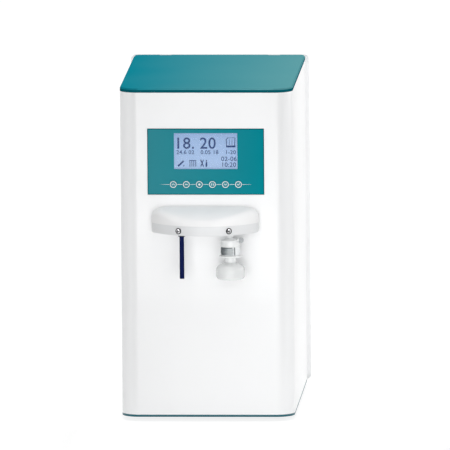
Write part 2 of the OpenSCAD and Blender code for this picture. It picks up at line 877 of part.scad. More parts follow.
module filter_housing() {
    wall = 1.8;
    neck_z = below(244.5);
    shoulder_top_z = below(248);
    inner_top_z = shoulder_z + 0.5;
    color([0.90, 0.92, 0.93])
    at_capsule() difference() {
        union() {
            rotate_extrude() polygon([
                [2.2, neck_z], [5, neck_z], [5, shoulder_top_z + 0.8], [7.5, shoulder_top_z],
                [capsule_r, shoulder_z], [capsule_r, collar_top_z + 1.6], [capsule_r + 0.6, collar_top_z + 1.6],
                [capsule_r + 0.6, collar_top_z], [capsule_r - wall, collar_top_z],
                [capsule_r - wall, inner_top_z - 1], [6, inner_top_z + 1], [2.2, inner_top_z + 1]
            ]);
            // Side boss of the vent
            rotate([0, 0, vent_turn]) translate([capsule_r - 3, 0, vent_z]) rotate([0, 90, 0])
                cylinder(r = 3.2, h = 3 + vent_boss);
        }
        rotate([0, 0, vent_turn]) translate([capsule_r - 6, 0, vent_z]) rotate([0, 90, 0])
            cylinder(r = 1.6 + running_gap, h = 8);
    }
}

module filter_collar() {
    ribs = 24;
    color([0.36, 0.39, 0.41])
    at_capsule() difference() {
        rotate_extrude() polygon([
            [capsule_r - 1.6, collar_low_z], [capsule_r - 0.4, collar_low_z], [capsule_r, collar_low_z + 0.5],
            [capsule_r, collar_top_z - 0.7], [capsule_r - 0.4, collar_top_z - 0.2],
            [capsule_r - 1.6, collar_top_z - 0.2]
        ]);
        for (k = [0 : ribs - 1]) rotate([0, 0, 360 * k / ribs])
            translate([capsule_r + 0.3, 0, collar_low_z + 2.5])
                cylinder(r = 0.7, h = collar_top_z - collar_low_z - 5);
    }
}

module filter_element() {
    pleats = 20;
    color([0.97, 0.97, 0.95])
    at_capsule() translate([0, 0, flange_top_z + 3]) difference() {
        cylinder(r = 12, h = collar_top_z - flange_top_z + 2);
        translate([0, 0, -1]) cylinder(r = 4, h = 40);
        for (k = [0 : pleats - 1]) rotate([0, 0, 360 * k / pleats])
            translate([12.2, 0, 2]) cylinder(r = 0.8, h = collar_top_z - flange_top_z - 2);
    }
}

module filter_outlet() {
    cup_r = capsule_r - 1.7;
    color([0.88, 0.91, 0.92])
    at_capsule() rotate_extrude() polygon([
        [2, nozzle_low_z], [3.2, nozzle_low_z], [4.2, neck_low_z - 0.7], [neck_r, neck_low_z],
        [neck_r, flange_low_z - 0.6],
        [11, flange_low_z], [flange_r - 0.8, flange_low_z], [flange_r, flange_low_z + 0.8],
        [flange_r, flange_top_z - 0.6], [flange_r - 0.6, flange_top_z], [cup_r, flange_top_z],
        [cup_r, collar_top_z - 0.3], [cup_r - 1.6, collar_top_z - 0.3], [cup_r - 1.6, flange_top_z + 1.4],
        [2, flange_top_z - 1]
    ]);
}

// Height of the bell's straight shoulder at its neck, at an inset from the outer face
function bell_neck_z(inset) =
    let (shoulder = 10 - inset, start_r = bell_r - inset - shoulder * (1 - sin(bell_slope)))
    bell_low_z + bell_side_h + shoulder * cos(bell_slope) + (start_r - bell_neck_r) * tan(bell_slope);

// Half section of the bell at an inset from its outer face, closed to the axis
module bell_section(inset) {
    r = bell_r - inset;
    rim = 6 - inset;
    shoulder = 10 - inset;
    low = bell_low_z + rim;
    high = bell_low_z + bell_side_h;
    polygon([
        [0, bell_low_z - inset], [r - rim, bell_low_z - inset], [r, low], [r, high],
        [r - shoulder * (1 - sin(bell_slope)), high + shoulder * cos(bell_slope)],
        [bell_neck_r, bell_neck_z(inset)], [0, bell_neck_z(inset)]
    ]);
    translate([r - rim, low]) intersection() {
        circle(r = rim);
        translate([0, -rim - inset]) square([rim, rim + inset]);
    }
    translate([r - shoulder, high]) intersection() {
        circle(r = shoulder);
        square(shoulder);
    }
}

module filter_bell() {
    sleeve_h = 4.6;
    color([0.90, 0.92, 0.92, 0.7])
    at_capsule() rotate_extrude() {
        difference() {
            bell_section(0);
            bell_section(bell_t);
            translate([-1, bell_low_z - 5]) square([bell_neck_r + 1, 60]);
        }
        translate([bell_neck_r, bell_neck_z(0) - sleeve_h]) square([bell_t, sleeve_h]);
    }
}

module vent_knob() {
    flutes = 10;
    color([0.80, 0.82, 0.84])
    at_capsule() translate([0, 0, vent_z]) rotate([0, 0, vent_turn]) rotate([0, 90, 0]) difference() {
        union() {
            translate([0, 0, vent_start]) cylinder(r = vent_r, h = vent_len);
            translate([0, 0, capsule_r - 3]) cylinder(r = 1.6, h = 6);
        }
        for (k = [0 : flutes - 1]) rotate([0, 0, 360 * k / flutes])
            translate([vent_r + 0.35, 0, vent_start - 1]) cylinder(r = 0.8, h = vent_len + 2);
    }
}

// ---------- inside ----------

module chassis_plate() {
    color([0.72, 0.74, 0.76])
    difference() {
        union() {
            upright(chassis_y - chassis_t, chassis_t) translate([-chassis_w / 2, shell_z + wall_t])
                square([chassis_w, chassis_h]);
            translate([-chassis_w / 2 + 26, chassis_y - 20, shell_z]) cube([chassis_w - 52, 20, 2]);
            for (s = [-1, 1])
                translate([s * (chassis_w / 2 - 1) - 1, chassis_y - chassis_t, shell_z + wall_t + 40])
                cube([2, 14, chassis_h - 40]);
        }
        upright(chassis_y - chassis_t - 1, chassis_t + 2) {
            for (s = [-1, 1]) translate([s * 46, shell_z + 395]) round_rect(60, 24, 8);
            translate([110, shell_z + 150]) circle(r = 8);
            translate([0, shell_z + 40]) circle(r = 10);
        }
    }
}

row_places = [
    for (x = [-row_x, 0, row_x]) [x, back_row_y, cartridge_r],
    for (x = [-row_x, row_x]) [x, front_row_y, cartridge_r],
    [0, front_row_y, uv_r]
];

module cartridge_shelves() {
    color([0.72, 0.74, 0.76])
    for (z = shelf_z) difference() {
        union() {
            translate([-chassis_w / 2, shelf_front_y, z])
                cube([chassis_w, chassis_y - chassis_t - shelf_front_y, shelf_t]);
            translate([-chassis_w / 2, shelf_front_y, z - 12]) cube([chassis_w, 2, 12]);
            translate([-chassis_w / 2, chassis_y - chassis_t - 2, z - 12]) cube([chassis_w, 2, 12]);
        }
        for (p = row_places) translate([p[0], p[1], z - 14]) cylinder(r = p[2] + shelf_gap, h = 20);
    }
}

module cartridge(x, y) {
    translate([x, y, cartridge_z + cap_h]) cylinder(r = cartridge_r, h = cartridge_h);
}

module pretreatment_cartridges() {
    color([0.90, 0.91, 0.93])
    for (x = [-row_x, 0, row_x]) cartridge(x, back_row_y);
}

module polishing_cartridges() {
    color([0.80, 0.87, 0.95])
    for (x = [-row_x, row_x]) cartridge(x, front_row_y);
}

cartridge_places = [
    for (x = [-row_x, 0, row_x]) [x, back_row_y],
    for (x = [-row_x, row_x]) [x, front_row_y]
];
fitting_spread = 18;
fitting_r = 6;

module cartridge_caps() {
    color([0.10, 0.30, 0.62])
    for (p = cartridge_places) translate([p[0], p[1], 0]) {
        translate([0, 0, cartridge_z]) cylinder(r = cap_r, h = cap_h);
        translate([0, 0, cartridge_top_z - cap_h]) cylinder(r = cap_r, h = cap_h - 4);
        translate([0, 0, cartridge_top_z - 4]) cylinder(r1 = cap_r, r2 = cap_r - 4, h = 4);
    }
}

uv_port_z = [24, uv_h - 42];
uv_port_l = 12;
uv_wall = 2;

module uv_chamber() {
    color([0.80, 0.81, 0.82])
    translate([0, front_row_y, uv_z]) difference() {
        union() {
            cylinder(r = uv_r, h = uv_h);
            for (z = uv_port_z) translate([0, -uv_r + uv_wall, z]) rotate([90, 0, 0])
                cylinder(r = 5, h = uv_port_l);
        }
        translate([0, 0, -1]) cylinder(r = uv_r - uv_wall, h = uv_h + 2);
        for (z = uv_port_z) translate([0, 0, z]) rotate([90, 0, 0]) cylinder(r = 2.4, h = 2 * uv_r);
    }
}

module uv_end_caps() {
    color([0.10, 0.10, 0.11])
    translate([0, front_row_y, 0]) {
        translate([0, 0, uv_z - 16]) cylinder(r = uv_r + 1.5, h = 16);
        translate([0, 0, uv_z + uv_h]) cylinder(r = uv_r + 1.5, h = 18);
        translate([0, 0, uv_z + uv_h + 18]) cylinder(r1 = 9, r2 = 5, h = 12);
    }
}

module membrane_housings() {
    color([0.95, 0.95, 0.95])
    for (x = membrane_x) translate([x, membrane_y, membrane_z + 20])
        cylinder(r = membrane_r, h = membrane_h);
}

module membrane_caps() {
    color([0.92, 0.92, 0.92])
    for (x = membrane_x) translate([x, membrane_y, membrane_z]) {
        cylinder(r = membrane_r + 2, h = 20);
        translate([0, 0, membrane_h + 20]) cylinder(r = membrane_r + 2, h = 18);
        translate([0, 0, membrane_h + 38]) cylinder(r1 = membrane_r, r2 = 12, h = 8);
    }
}

module membrane_clips() {
    clip_r = membrane_r + 0.2;
    color([0.93, 0.93, 0.93])
    for (x = membrane_x, z = [shell_z + 90, shell_z + 260]) translate([x, membrane_y, z]) difference() {
        union() {
            cylinder(r = clip_r + 2.5, h = 16);
            translate([-12, chassis_y - membrane_y, 0]) cube([24, membrane_y - chassis_y - 20, 16]);
        }
        translate([0, 0, -1]) cylinder(r = clip_r, h = 18);
        translate([-20, 6, -1]) cube([40, 60, 18]);
    }
}

booster_y = chassis_y + 52;
circulation_y = chassis_y + 132;
pump_x = 8;
pump_z = shell_z + 38;
motor_r = 30;

// Diaphragm pump: a square head with a domed end, and two side ports
module pump_head_at(y) {
    translate([pump_x, y, pump_z]) {
        rotate([0, 90, 0]) translate([0, 0, 6]) linear_extrude(34) round_rect(58, 58, 8);
        rotate([0, 90, 0]) cylinder(r1 = 20, r2 = 26, h = 6);
        for (s = [-1, 1]) translate([16, s * 29, 12]) rotate([-90 * s, 0, 0]) cylinder(r = 5, h = 7);
    }
}

// Motor of a pump with its foot rails
module pump_motor_at(y) {
    translate([pump_x + 40, y, pump_z]) {
        rotate([0, 90, 0]) cylinder(r = motor_r, h = 84);
        rotate([0, 90, 0]) translate([0, 0, 84]) cylinder(r1 = motor_r - 2, r2 = 12, h = 6);
        for (s = [-1, 1]) translate([6, s * 16 - 6, shell_z - pump_z]) cube([72, 12, 14]);
    }
}

module booster_pump() {
    color([0.13, 0.14, 0.15]) pump_head_at(booster_y);
}

module booster_motor() {
    color([0.62, 0.63, 0.65]) pump_motor_at(booster_y);
}

module circulation_pump() {
    color([0.13, 0.14, 0.15]) pump_head_at(circulation_y);
}

module circulation_motor() {
    color([0.62, 0.63, 0.65]) pump_motor_at(circulation_y);
}

valve_x = [30, 74, 118];
valve_z = shell_z + 180;

module solenoid_valves() {
    color([0.16, 0.16, 0.18])
    for (x = valve_x) translate([x, chassis_y, valve_z]) {
        translate([-11, 0, -9]) cube([22, 26, 18]);
        translate([0, 13, 9]) cylinder(r = 12, h = 26);
        for (s = [-1, 1]) translate([s * 11, 13, 0]) rotate([0, 90 * s, 0]) cylinder(r = 4.5, h = 8);
    }
}

module power_supply() {
    color([0.78, 0.79, 0.80])
    difference() {
        translate([30, chassis_y, shell_z + 250]) cube([100, 42, 160]);
        translate([32, chassis_y + 2, shell_z + 252]) cube([96, 38, 156]);
        for (i = [0 : 9]) translate([50 + i * 6, chassis_y + 30, shell_z + 290]) cube([3, 20, 90]);
    }
}

cell_y = front_y + 34;
cell_front = 8;
cell_tower_y = 6;
cell_tower_h = 34;

module resistivity_cell() {
    color([0.88, 0.89, 0.90])
    translate([capsule_x, cell_y, head_z + line_rise]) {
        rotate([-90, 0, 0]) translate([0, 0, -cell_front]) cylinder(r = 9, h = 26 + cell_front);
        translate([0, cell_tower_y, 0]) cylinder(r = 7, h = 24);
        translate([0, cell_tower_y, 24]) cylinder(r = 4.5, h = cell_tower_h - 24);
    }
}

// ---------- inner tubing ----------

cap_fittings = [
    for (p = cartridge_places, s = [-1, 1]) [p[0] + s * fitting_spread, p[1]]
];

membrane_top_z = membrane_z + membrane_h + 46;
membrane_fitting_h = 8;

module elbow_fittings() {
    color([0.94, 0.94, 0.93]) {
        for (p = cap_fittings) translate([p[0], p[1], cartridge_top_z]) {
            cylinder(r = fitting_r + 1.5, h = 6);
            translate([0, 0, 6]) cylinder(r = fitting_r, h = elbow_h - 6);
        }
        for (x = membrane_x) translate([x, membrane_y, membrane_top_z])
            cylinder(r = fitting_r, h = membrane_fitting_h);
    }
}

hose_z = cartridge_top_z + elbow_h;
membrane_hose_z = membrane_top_z + membrane_fitting_h;
link_z = hose_z + 26;
over_z = hose_z + 34;
high_z = hose_z + 38;
pass_z = shell_z + 395;
pass_x = -60;
left_x = -row_x - fitting_spread;
right_x = row_x + fitting_spread;
feed_y = back_y - 52;
port_inner_y = back_y - 26;

// Tap water to the pretreatment, on through it, to the membranes and from them to the polishing
module supply_tubing() {
    color([0.92, 0.93, 0.95]) {
        hose([
            [fitting_spread - row_x, back_row_y, hose_z], [fitting_spread - row_x, back_row_y, link_z],
            [-fitting_spread, back_row_y, link_z], [-fitting_spread, back_row_y, hose_z]
        ]);
        hose([
            [fitting_spread, back_row_y, hose_z], [fitting_spread, back_row_y, link_z],
            [row_x - fitting_spread, back_row_y, link_z], [row_x - fitting_spread, back_row_y, hose_z]
        ]);
        hose([
            [port_x[0], port_inner_y, port_z], [port_x[0], feed_y, port_z], [port_x[0], feed_y, over_z],
            [left_x, back_row_y, over_z], [left_x, back_row_y, hose_z]
        ]);
        hose([
            [right_x, back_row_y, hose_z], [right_x, back_row_y, high_z], [right_x, membrane_y, high_z],
            [membrane_x[1], membrane_y, high_z], [membrane_x[1], membrane_y, membrane_hose_z]
        ]);
        hose([
            [membrane_x[0], membrane_y, membrane_hose_z], [membrane_x[0], membrane_y, pass_z],
            [pass_x, membrane_y, pass_z], [pass_x, front_row_y + 50, pass_z],
            [pass_x, front_row_y + 50, over_z], [left_x, front_row_y + 50, over_z],
            [left_x, front_row_y, over_z], [left_x, front_row_y, hose_z]
        ]);
    }
}

// Polished water from the first cartridge to the second, to the cell, and from the lamp chamber to the tube
module product_tubing() {
    line_z = head_z + line_rise;
    elbow_y = outlet_py - elbow_front + elbow_len;
    cell_x = capsule_x;
    tower_y = cell_y + cell_tower_y;
    turn_y = front_row_y - 62;
    lamp_y = front_row_y - uv_r + uv_wall - uv_port_l;
    lamp_z = uv_z + uv_port_z[1];
    color([0.10, 0.25, 0.70]) {
        hose([
            [fitting_spread - row_x, front_row_y, hose_z], [fitting_spread - row_x, front_row_y, over_z],
            [row_x - fitting_spread, front_row_y, over_z], [row_x - fitting_spread, front_row_y, hose_z]
        ]);
        hose([
            [right_x, front_row_y, hose_z], [right_x, front_row_y, link_z], [right_x, tower_y, link_z],
            [cell_x, tower_y, link_z], [cell_x, tower_y, line_z + cell_tower_h]
        ]);
        hose([
            [0, lamp_y, lamp_z], [0, turn_y, lamp_z], [tube_x, turn_y, lamp_z],
            [tube_x, turn_y, line_z], [tube_x, elbow_y, line_z]
        ]);
        translate([cell_x, elbow_y, line_z]) rotate([-90, 0, 0])
            cylinder(d = hose_d, h = cell_y - cell_front - elbow_y);
    }
}

base_plate();
feet();
foot_screws();
base_screws();
housing_shell();
rear_panel();
rear_panel_screws();
hinge_brackets();
hinge_pins();
lid();
control_panel();
display_window();
lcd_module();
control_board();
board_posts();
key_switches();
key_1();
key_2();
key_3();
key_4();
key_5();
key_6();
dispensing_head();
head_tray();
head_screws();
head_mount_screws();
tube_connector();
outlet_tube();
filter_adapter();
filter_housing();
filter_collar();
filter_element();
filter_outlet();
filter_bell();
vent_knob();
chassis_plate();
cartridge_shelves();
pretreatment_cartridges();
polishing_cartridges();
cartridge_caps();
uv_chamber();
uv_end_caps();
membrane_housings();
membrane_caps();
membrane_clips();
booster_pump();
booster_motor();
circulation_pump();
circulation_motor();
solenoid_valves();
resistivity_cell();
power_supply();
elbow_fittings();
supply_tubing();
product_tubing();
rear_ports();
port_nuts();
power_inlet();
switch_frame();
power_rocker();
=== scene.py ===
import json
import math

import bmesh
import bpy
from mathutils import Matrix, Vector

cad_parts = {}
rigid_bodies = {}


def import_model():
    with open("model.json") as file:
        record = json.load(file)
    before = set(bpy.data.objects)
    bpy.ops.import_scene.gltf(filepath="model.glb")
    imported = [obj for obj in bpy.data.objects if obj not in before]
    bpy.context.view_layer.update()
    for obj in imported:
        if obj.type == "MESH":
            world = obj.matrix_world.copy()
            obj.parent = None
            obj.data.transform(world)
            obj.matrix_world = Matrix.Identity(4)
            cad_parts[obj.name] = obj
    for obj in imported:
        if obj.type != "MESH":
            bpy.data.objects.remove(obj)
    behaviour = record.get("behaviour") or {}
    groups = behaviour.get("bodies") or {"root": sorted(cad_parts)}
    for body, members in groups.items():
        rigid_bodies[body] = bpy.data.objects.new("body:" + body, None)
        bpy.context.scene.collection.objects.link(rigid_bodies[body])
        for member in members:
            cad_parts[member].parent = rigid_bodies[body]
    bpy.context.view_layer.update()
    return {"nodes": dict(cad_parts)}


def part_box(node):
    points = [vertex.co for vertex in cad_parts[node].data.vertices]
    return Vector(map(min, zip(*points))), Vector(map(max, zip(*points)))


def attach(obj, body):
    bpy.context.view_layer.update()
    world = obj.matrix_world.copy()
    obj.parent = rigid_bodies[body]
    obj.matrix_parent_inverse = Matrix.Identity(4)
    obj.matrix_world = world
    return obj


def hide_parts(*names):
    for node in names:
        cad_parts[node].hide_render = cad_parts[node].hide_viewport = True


bl_info = {
    "name": "Ultrapure water system",
    "version": (1, 0, 0),
    "blender": (4, 5, 0),
    "location": "3D View > Sidebar > Water system",
    "description": "Builds the finished look of a bench-top ultrapure water system round its frame",
    "category": "Add Mesh",
}

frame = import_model()
NODES = frame["nodes"]
MM = 0.001


def middle(low, high):
    """Middle of a box in plan."""
    return (low.x + high.x) / 2, (low.y + high.y) / 2


# Places read from the frame, in metres
PANEL_LO, PANEL_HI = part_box("control_panel")
WINDOW_LO, WINDOW_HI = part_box("display_window")
LCD_LO, LCD_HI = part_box("lcd_module")
HEAD_LO, HEAD_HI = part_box("dispensing_head")
TRAY_LO, TRAY_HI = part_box("head_tray")
TUBE_LO, TUBE_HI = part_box("outlet_tube")
COLLAR_LO, COLLAR_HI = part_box("filter_collar")
BELL_LO, BELL_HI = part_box("filter_bell")
LID_LO, LID_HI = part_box("lid")
WALL_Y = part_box("housing_shell")[0].y
TUBE_PLACE = middle(TUBE_LO, TUBE_HI)
CAPSULE_PLACE = middle(BELL_LO, BELL_HI)

# Plan of the dispensing head: one arc between two cheeks that stand square to the wall
HEAD_X = middle(HEAD_LO, HEAD_HI)[0]
HEAD_HALF = (HEAD_HI.x - HEAD_LO.x) / 2
HEAD_REACH = WALL_Y - HEAD_LO.y
HEAD_SAG = HEAD_REACH - 14 * MM
HEAD_RADIUS = (HEAD_HALF ** 2 + HEAD_SAG ** 2) / (2 * HEAD_SAG)
HEAD_CENTRE_Y = WALL_Y - HEAD_REACH + HEAD_RADIUS


# ---------- sizes and colours that a user would change ----------

def colour_prop(name, description, default):
    return bpy.props.FloatVectorProperty(
        name=name, description=description, default=default, size=3, min=0, max=1, subtype="COLOR")


def length_prop(name, description, default, low, high):
    return bpy.props.FloatProperty(
        name=name, description=description, default=default, min=low, max=high,
        unit="LENGTH", subtype="DISTANCE")


def count_prop(name, description, default, low, high):
    return bpy.props.IntProperty(name=name, description=description, default=default, min=low, max=high)


def level_prop(name, description, default, high):
    return bpy.props.FloatProperty(name=name, description=description, default=default, min=0, max=high)


class HousingSettings(bpy.types.PropertyGroup):
    shell_colour: colour_prop("Shell colour", "White powder coat of the housing", (0.90, 0.905, 0.91))
    edge_radius: length_prop("Edge radius", "Rounding of the sheet's cut edges", 0.35 * MM, 0.0, 0.002)
    lid_colour: colour_prop("Lid colour", "Teal gloss of the lid", (0.006, 0.245, 0.32))
    # The base plate's dark teal is painted shade: the teal gloss darkened for the shade on its thin edge.
    base_painted_shade_colour: colour_prop("Base colour", "Dark teal of the base plate", (0.012, 0.11, 0.14))
    rear_screw_head: length_prop("Rear screw head", "Radius of a rear screw's head", 3.0 * MM, 0.001, 0.01)


class PanelSettings(bpy.types.PropertyGroup):
    membrane_colour: colour_prop("Membrane colour", "Printed teal of the control panel", (0.001, 0.24, 0.295))
    print_colour: colour_prop("Print colour", "White print on the membrane", (0.92, 0.97, 0.97))
    lcd_colour: colour_prop("Display colour", "Pale face of the display", (0.32, 0.47, 0.73))
    segment_colour: colour_prop("Segment colour", "Dark characters of the display", (0.015, 0.05, 0.20))
    digit_height: length_prop("Digit height", "Height of the large digits", 20.4 * MM, 0.005, 0.03)


class HeadSettings(bpy.types.PropertyGroup):
    cover_colour: colour_prop("Cover colour", "White plastic of the dispensing head", (0.91, 0.912, 0.915))
    # The tray's darker grey is painted shade: the same white plastic as the cover, darkened because the band
    # faces slightly down.
    tray_painted_shade_colour: colour_prop("Tray colour", "Slightly darker plastic of the tray", (0.79, 0.80, 0.81))
    corner_radius: length_prop("Corner radius", "Rounding of both end corners in plan", 7 * MM, 0.001, 0.012)
    brow_radius: length_prop("Brow radius", "Rounding between the crown and the band", 9 * MM, 0.001, 0.015)
    screw_head: length_prop("Screw head", "Radius of the two front screws' heads", 3.9 * MM, 0.002, 0.006)
    washer: length_prop("Washer", "Radius of the two front screws' washers", 5.4 * MM, 0.003, 0.008)


class CapsuleSettings(bpy.types.PropertyGroup):
    frosted_colour: colour_prop("Frosted colour", "Translucent plastic of the capsule", (0.92, 0.935, 0.935))
    collar_colour: colour_prop("Collar colour", "Dark grey of the collar", (0.075, 0.09, 0.10))
    collar_ribs: count_prop("Collar ribs", "Grip ribs round the collar", 24, 8, 48)
    tube_colour: colour_prop("Tube colour", "Dark blue of the outlet tube", (0.0005, 0.006, 0.062))


class InsideSettings(bpy.types.PropertyGroup):
    hose_colour: colour_prop("Hose colour", "White inner tubing", (0.80, 0.82, 0.84))
    product_colour: colour_prop("Product hose colour", "Blue inner tubing", (0.01, 0.07, 0.45))
    cap_colour: colour_prop("Cap colour", "Blue caps of the cartridges", (0.01, 0.09, 0.40))
    cap_ribs: count_prop("Cap ribs", "Grip ribs round each cartridge cap", 40, 12, 72)


class StageSettings(bpy.types.PropertyGroup):
    floor_colour: colour_prop("Floor colour", "Pale studio floor", (0.96, 0.96, 0.96))
    floor_glow: level_prop("Floor glow", "Share of plain white in what the camera sees of the floor", 0.7, 1)
    front_light: level_prop("Front light", "Power of the soft light in front", 7.7, 500)
    side_light: level_prop("Side light", "Power of the soft light on the right", 16.5, 500)
    top_light: level_prop("Top light", "Power of the soft light straight above", 18.0, 500)
    edge_light: level_prop("Edge light", "Power of the small soft light on the rear panel's edge", 4.2, 50)
    low_light: level_prop("Low light", "Power of the soft light over the floor in front", 3.6, 50)
    room_light: level_prop("Room light", "Brightness of the room on every side", 0.70, 2)


# ---------- shared making ----------

# In a frame node's mesh, corners that lie this near are one, and so are faces within this angle, in radians
NODE_WELD = 2e-6
NODE_LEVEL = 0.004
PIECE_WELD = 1e-6
STEEP_EDGE = math.radians(35)


def link(obj):
    bpy.context.scene.collection.objects.link(obj)
    return obj


def close_mesh(bm, mesh, sharp):
    """Writes a mesh with its doubles merged, its normals outwards and the edges past an angle sharp."""
    bmesh.ops.remove_doubles(bm, verts=bm.verts, dist=PIECE_WELD)
    bmesh.ops.recalc_face_normals(bm, faces=bm.faces)
    for face in bm.faces:
        face.smooth = True
    for edge in bm.edges:
        edge.smooth = len(edge.link_faces) == 2 and edge.calc_face_angle(0.0) < math.radians(sharp)
    bm.to_mesh(mesh)
    bm.free()


def piece_from(bm, name, material, sharp=32):
    """A plain mesh object from a bmesh."""
    mesh = bpy.data.meshes.new(name)
    close_mesh(bm, mesh, sharp)
    mesh.materials.append(material)
    return link(bpy.data.objects.new(name, mesh))


def take(obj, slot, *replaced, body="housing"):
    """Puts a finished piece on its body and hides the frame nodes it stands for; the record slot it is given
    is not used.
    """
    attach(obj, body)
    if replaced:
        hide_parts(*replaced)


def joined_node(node):
    """A frame node's mesh with its loose triangles joined."""
    bm = bmesh.new()
    bm.from_mesh(NODES[node].data)
    bmesh.ops.remove_doubles(bm, verts=bm.verts, dist=NODE_WELD)
    return bm


def edged_copy(node, name, finish, width, slot, segments=2, body="housing"):
    """A frame node's own form with every steep edge rounded and its flat faces kept flat."""
    bm = joined_node(node)
    bmesh.ops.dissolve_limit(bm, angle_limit=NODE_LEVEL, verts=bm.verts, edges=bm.edges)
    mesh = bpy.data.meshes.new(name)
    bm.to_mesh(mesh)
    bm.free()
    mesh.materials.append(FINISHES[finish])
    for poly in mesh.polygons:
        poly.use_smooth = True
    for edge in mesh.edges:
        edge.use_edge_sharp = False
    obj = link(bpy.data.objects.new(name, mesh))
    bevel = obj.modifiers.new("rounded edges", "BEVEL")
    bevel.width = width
    bevel.segments = segments
    bevel.limit_method = "ANGLE"
    bevel.angle_limit = STEEP_EDGE
    obj.modifiers.new("flat faces stay flat", "WEIGHTED_NORMAL").weight = 80
    take(obj, slot, node, body=body)


def dress(node, finish):
    """Gives a frame node that stays as it is its finish."""
    for place in NODES[node].material_slots:
        place.material = FINISHES[finish]


def plain_mesh(obj, name):
    """The evaluated shape of an object as a plain mesh; the object goes."""
    bpy.context.view_layer.update()
    graph = bpy.context.evaluated_depsgraph_get()
    mesh = bpy.data.meshes.new_from_object(obj.evaluated_get(graph), depsgraph=graph)
    mesh.name = name
    mesh.transform(obj.matrix_world)
    bpy.data.objects.remove(obj)
    return mesh


def skin_rings(bm, rings, closed=True, capped=False):
    """Faces between rings of the same count."""
    rows = [[bm.verts.new(p) for p in ring] for ring in rings]
    count = len(rows[0])
    for low, high in zip(rows, rows[1:]):
        for k in range(count if closed else count - 1):
            n = (k + 1) % count
            bm.faces.new((low[k], low[n], high[n], high[k]))
    if capped:
        bm.faces.new(list(reversed(rows[0])))
        bm.faces.new(rows[-1])


def lathe(bm, profile, count, centre=(0.0, 0.0)):
    """Turns a closed outline of (radius, z) about an upright axis."""
    turns = [2 * math.pi * k / count for k in range(count)]
    rings = [[Vector((centre[0] + r * math.cos(a), centre[1] + r * math.sin(a), z)) for a in turns]
             for r, z in profile]
    skin_rings(bm, rings + [rings[0]])


def arc_points(cx, cz, radius, start, end, steps):
    """Points of an arc in (radius, z), angles in degrees."""
    angles = [math.radians(start + (end - start) * k / steps) for k in range(steps + 1)]
    return [(cx + radius * math.cos(a), cz + radius * math.sin(a)) for a in angles]


def flat_shape(bm, outline, y, thick):
    """A thin plate that faces the front, from an outline of (x, z)."""
    front = [bm.verts.new((x, y, z)) for x, z in outline]
    back = [bm.verts.new((x, y + thick, z)) for x, z in outline]
    bm.faces.new(front)
    bm.faces.new(list(reversed(back)))
    for k in range(len(outline)):
        n = (k + 1) % len(outline)
        bm.faces.new((front[k], back[k], back[n], front[n]))


def flat_ring(bm, x, z, r_in, r_out, y, thick, count=48):
    """A thin flat ring that faces the front."""
    turns = [2 * math.pi * k / count for k in range(count)]
    rings = [[Vector((x + r * math.cos(a), depth, z + r * math.sin(a))) for a in turns]
             for r, depth in ((r_in, y), (r_out, y), (r_out, y + thick), (r_in, y + thick))]
    skin_rings(bm, rings + [rings[0]])


def stroke(bm, origin, line, width, y, thick):
    """A straight flat stroke between two places, given in millimetres right of and above an origin."""
    x, z = origin
    x0, z0, x1, z1 = (c * MM for c in line)
    start, end = Vector((x + x0, z + z0)), Vector((x + x1, z + z1))
    along = (end - start).normalized() * width / 2
    side = Vector((-along.y, along.x))
    start, end = start - along, end + along
    flat_shape(bm, [start - side, end - side, end + side, start + side], y, thick)


# ---------- node trees ----------

class Tree:
    """A node tree, with short calls that add a node and feed its inputs."""

    def __init__(self, tree):
        self.tree = tree

    def feed(self, socket, value):
        """Joins an output to a socket, or gives the socket a plain value."""
        if isinstance(value, bpy.types.NodeSocket):
            self.tree.links.new(value, socket)
        else:
            socket.default_value = (*value, 1) if socket.type == "RGBA" else value

    def add(self, kind, inputs=None, **values):
        node = self.tree.nodes.new(kind)
        for key, value in values.items():
            setattr(node, key, value)
        for key, value in (inputs or {}).items():
            self.feed(node.inputs[key], value)
        return node

    def math(self, operation, first, second=0.0):
        return self.add("ShaderNodeMath", {0: first, 1: second}, operation=operation).outputs[0]


def shade(colour, factor):
    return tuple(min(1.0, c * factor) for c in colour)


